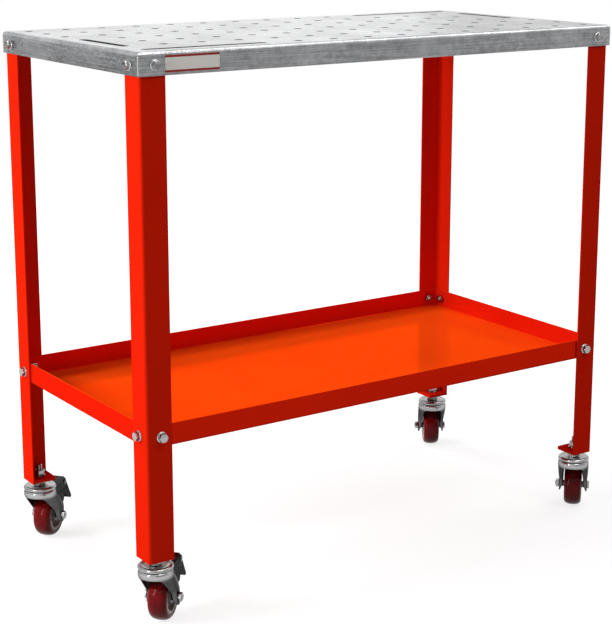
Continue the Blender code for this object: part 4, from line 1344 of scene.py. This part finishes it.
def studio_floor():
    """A matt floor that glows up to white where it is seen, a little less round the table's shadow."""
    bm = bmesh.new()
    bmesh.ops.create_grid(bm, x_segments=8, y_segments=8, size=FLOOR_SIZE / 2)
    floor = in_scene("studio_floor", bm)
    material, tree, shader = new_finish(
        "white_floor", Base_Color=grey(FLOOR_WHITE), Roughness=FLOOR_ROUGH, Specular_IOR_Level=0.0,
        Emission_Color=grey(1.0),
    )
    away = add_node(tree, "ShaderNodeVectorMath", {"operation": "LENGTH"}, Vector=place_on(tree))
    near, far = SHADOW_REACH
    white = add_node(
        tree, "ShaderNodeMapRange", {"interpolation_type": "SMOOTHSTEP"}, Value=away.outputs["Value"],
        From_Min=near, From_Max=far, To_Min=FLOOR_GLOW, To_Max=1.0,
    )
    glow = math_node(tree, "MULTIPLY", seen_directly(tree), white.outputs["Result"])
    set_inputs(tree, shader, Emission_Strength=glow)
    floor.data.materials.append(material)


def soft_lamp(name, place, aim, size, power, mirrored=True):
    """A soft box at a place, turned towards a point. Behind a diffuser, bright metal doesn't mirror it."""
    lamp = bpy.data.lights.new(name, "AREA")
    lamp.shape = "RECTANGLE"
    lamp.size, lamp.size_y = size
    lamp.energy = power
    holder = bpy.data.objects.new(name, lamp)
    bpy.context.scene.collection.objects.link(holder)
    holder.location = place
    holder.rotation_euler = (Vector(aim) - Vector(place)).to_track_quat("-Z", "Y").to_euler()
    holder.visible_camera = False
    holder.visible_glossy = mirrored


def grey_card(name, place, turn, size, glow):
    """A card standing beside the table, which only the bright metal reflects."""
    bm = bmesh.new()
    bmesh.ops.create_grid(bm, x_segments=4, y_segments=2, size=0.5)
    stood = Matrix.Rotation(turn, 4, "Z") @ Matrix.Rotation(math.pi / 2, 4, "X")
    card = in_scene(name, set_up(bm, Matrix.Translation(place) @ stood @ Matrix.Diagonal((*size, 1, 1))))
    material, _, _ = new_finish(
        name, Base_Color=grey(CARD_GREY), Roughness=1.0, Specular_IOR_Level=0.0, Emission_Color=grey(1.0),
        Emission_Strength=glow,
    )
    card.data.materials.append(material)
    card.visible_camera = False
    card.visible_diffuse = False
    card.visible_shadow = False


white_surround()
studio_floor()
grey_card("front_card", (1.0, -3.1, 1.0), 0.0, (6.0, 2.0), 0.54)
grey_card("left_card", (-1.65, 2.4, 0.3), math.radians(34.0), (3.4, 0.62), 0.10)
soft_lamp("left_lamp", (-2.75, 0.6, 1.5), (0.0, 0.0, 0.45), (1.3, 1.4), 98.0, mirrored=False)
soft_lamp("left_strip", (-2.4, -0.7, 1.1), (0.0, 0.0, 0.4), (0.12, 1.4), 11.0)
soft_lamp("back_lamp", (-1.0, 2.7, 2.4), (0.0, 0.0, 0.4), (1.8, 1.0), 80.0, mirrored=False)
soft_lamp("right_panel", (1.1, 2.9, 1.5), (0.0, 0.0, 0.85), (2.4, 1.4), 3.6)
soft_lamp("top_lamp", (1.1, -0.2, 2.7), (0.2, 0.0, 0.8), (1.2, 2.4), 26.0)
soft_lamp("front_lamp", (0.2, -2.0, 3.0), (0.0, 0.0, 0.4), (1.4, 1.0), 34.0)

# Camera: a long lens at the photograph's angle, from the left of the front and a little above the top,
# with a small shift that keeps the legs more upright.
CAMERA_PLACE = (-1.5388, -2.2396, 1.0878)
CAMERA_TURN = math.radians(34.23)
CAMERA_TILT = math.radians(12.48)
CAMERA_LENS = 90.0
CAMERA_SHIFT = -0.10

lens = bpy.data.cameras.new("photo_camera")
lens.lens = CAMERA_LENS
lens.shift_y = CAMERA_SHIFT
camera = bpy.data.objects.new("photo_camera", lens)
bpy.context.scene.collection.objects.link(camera)
camera.location = CAMERA_PLACE
camera.rotation_euler = (math.pi / 2 - CAMERA_TILT, 0, -CAMERA_TURN)
bpy.context.scene.camera = camera
bpy.context.scene.view_settings.view_transform = "Standard"
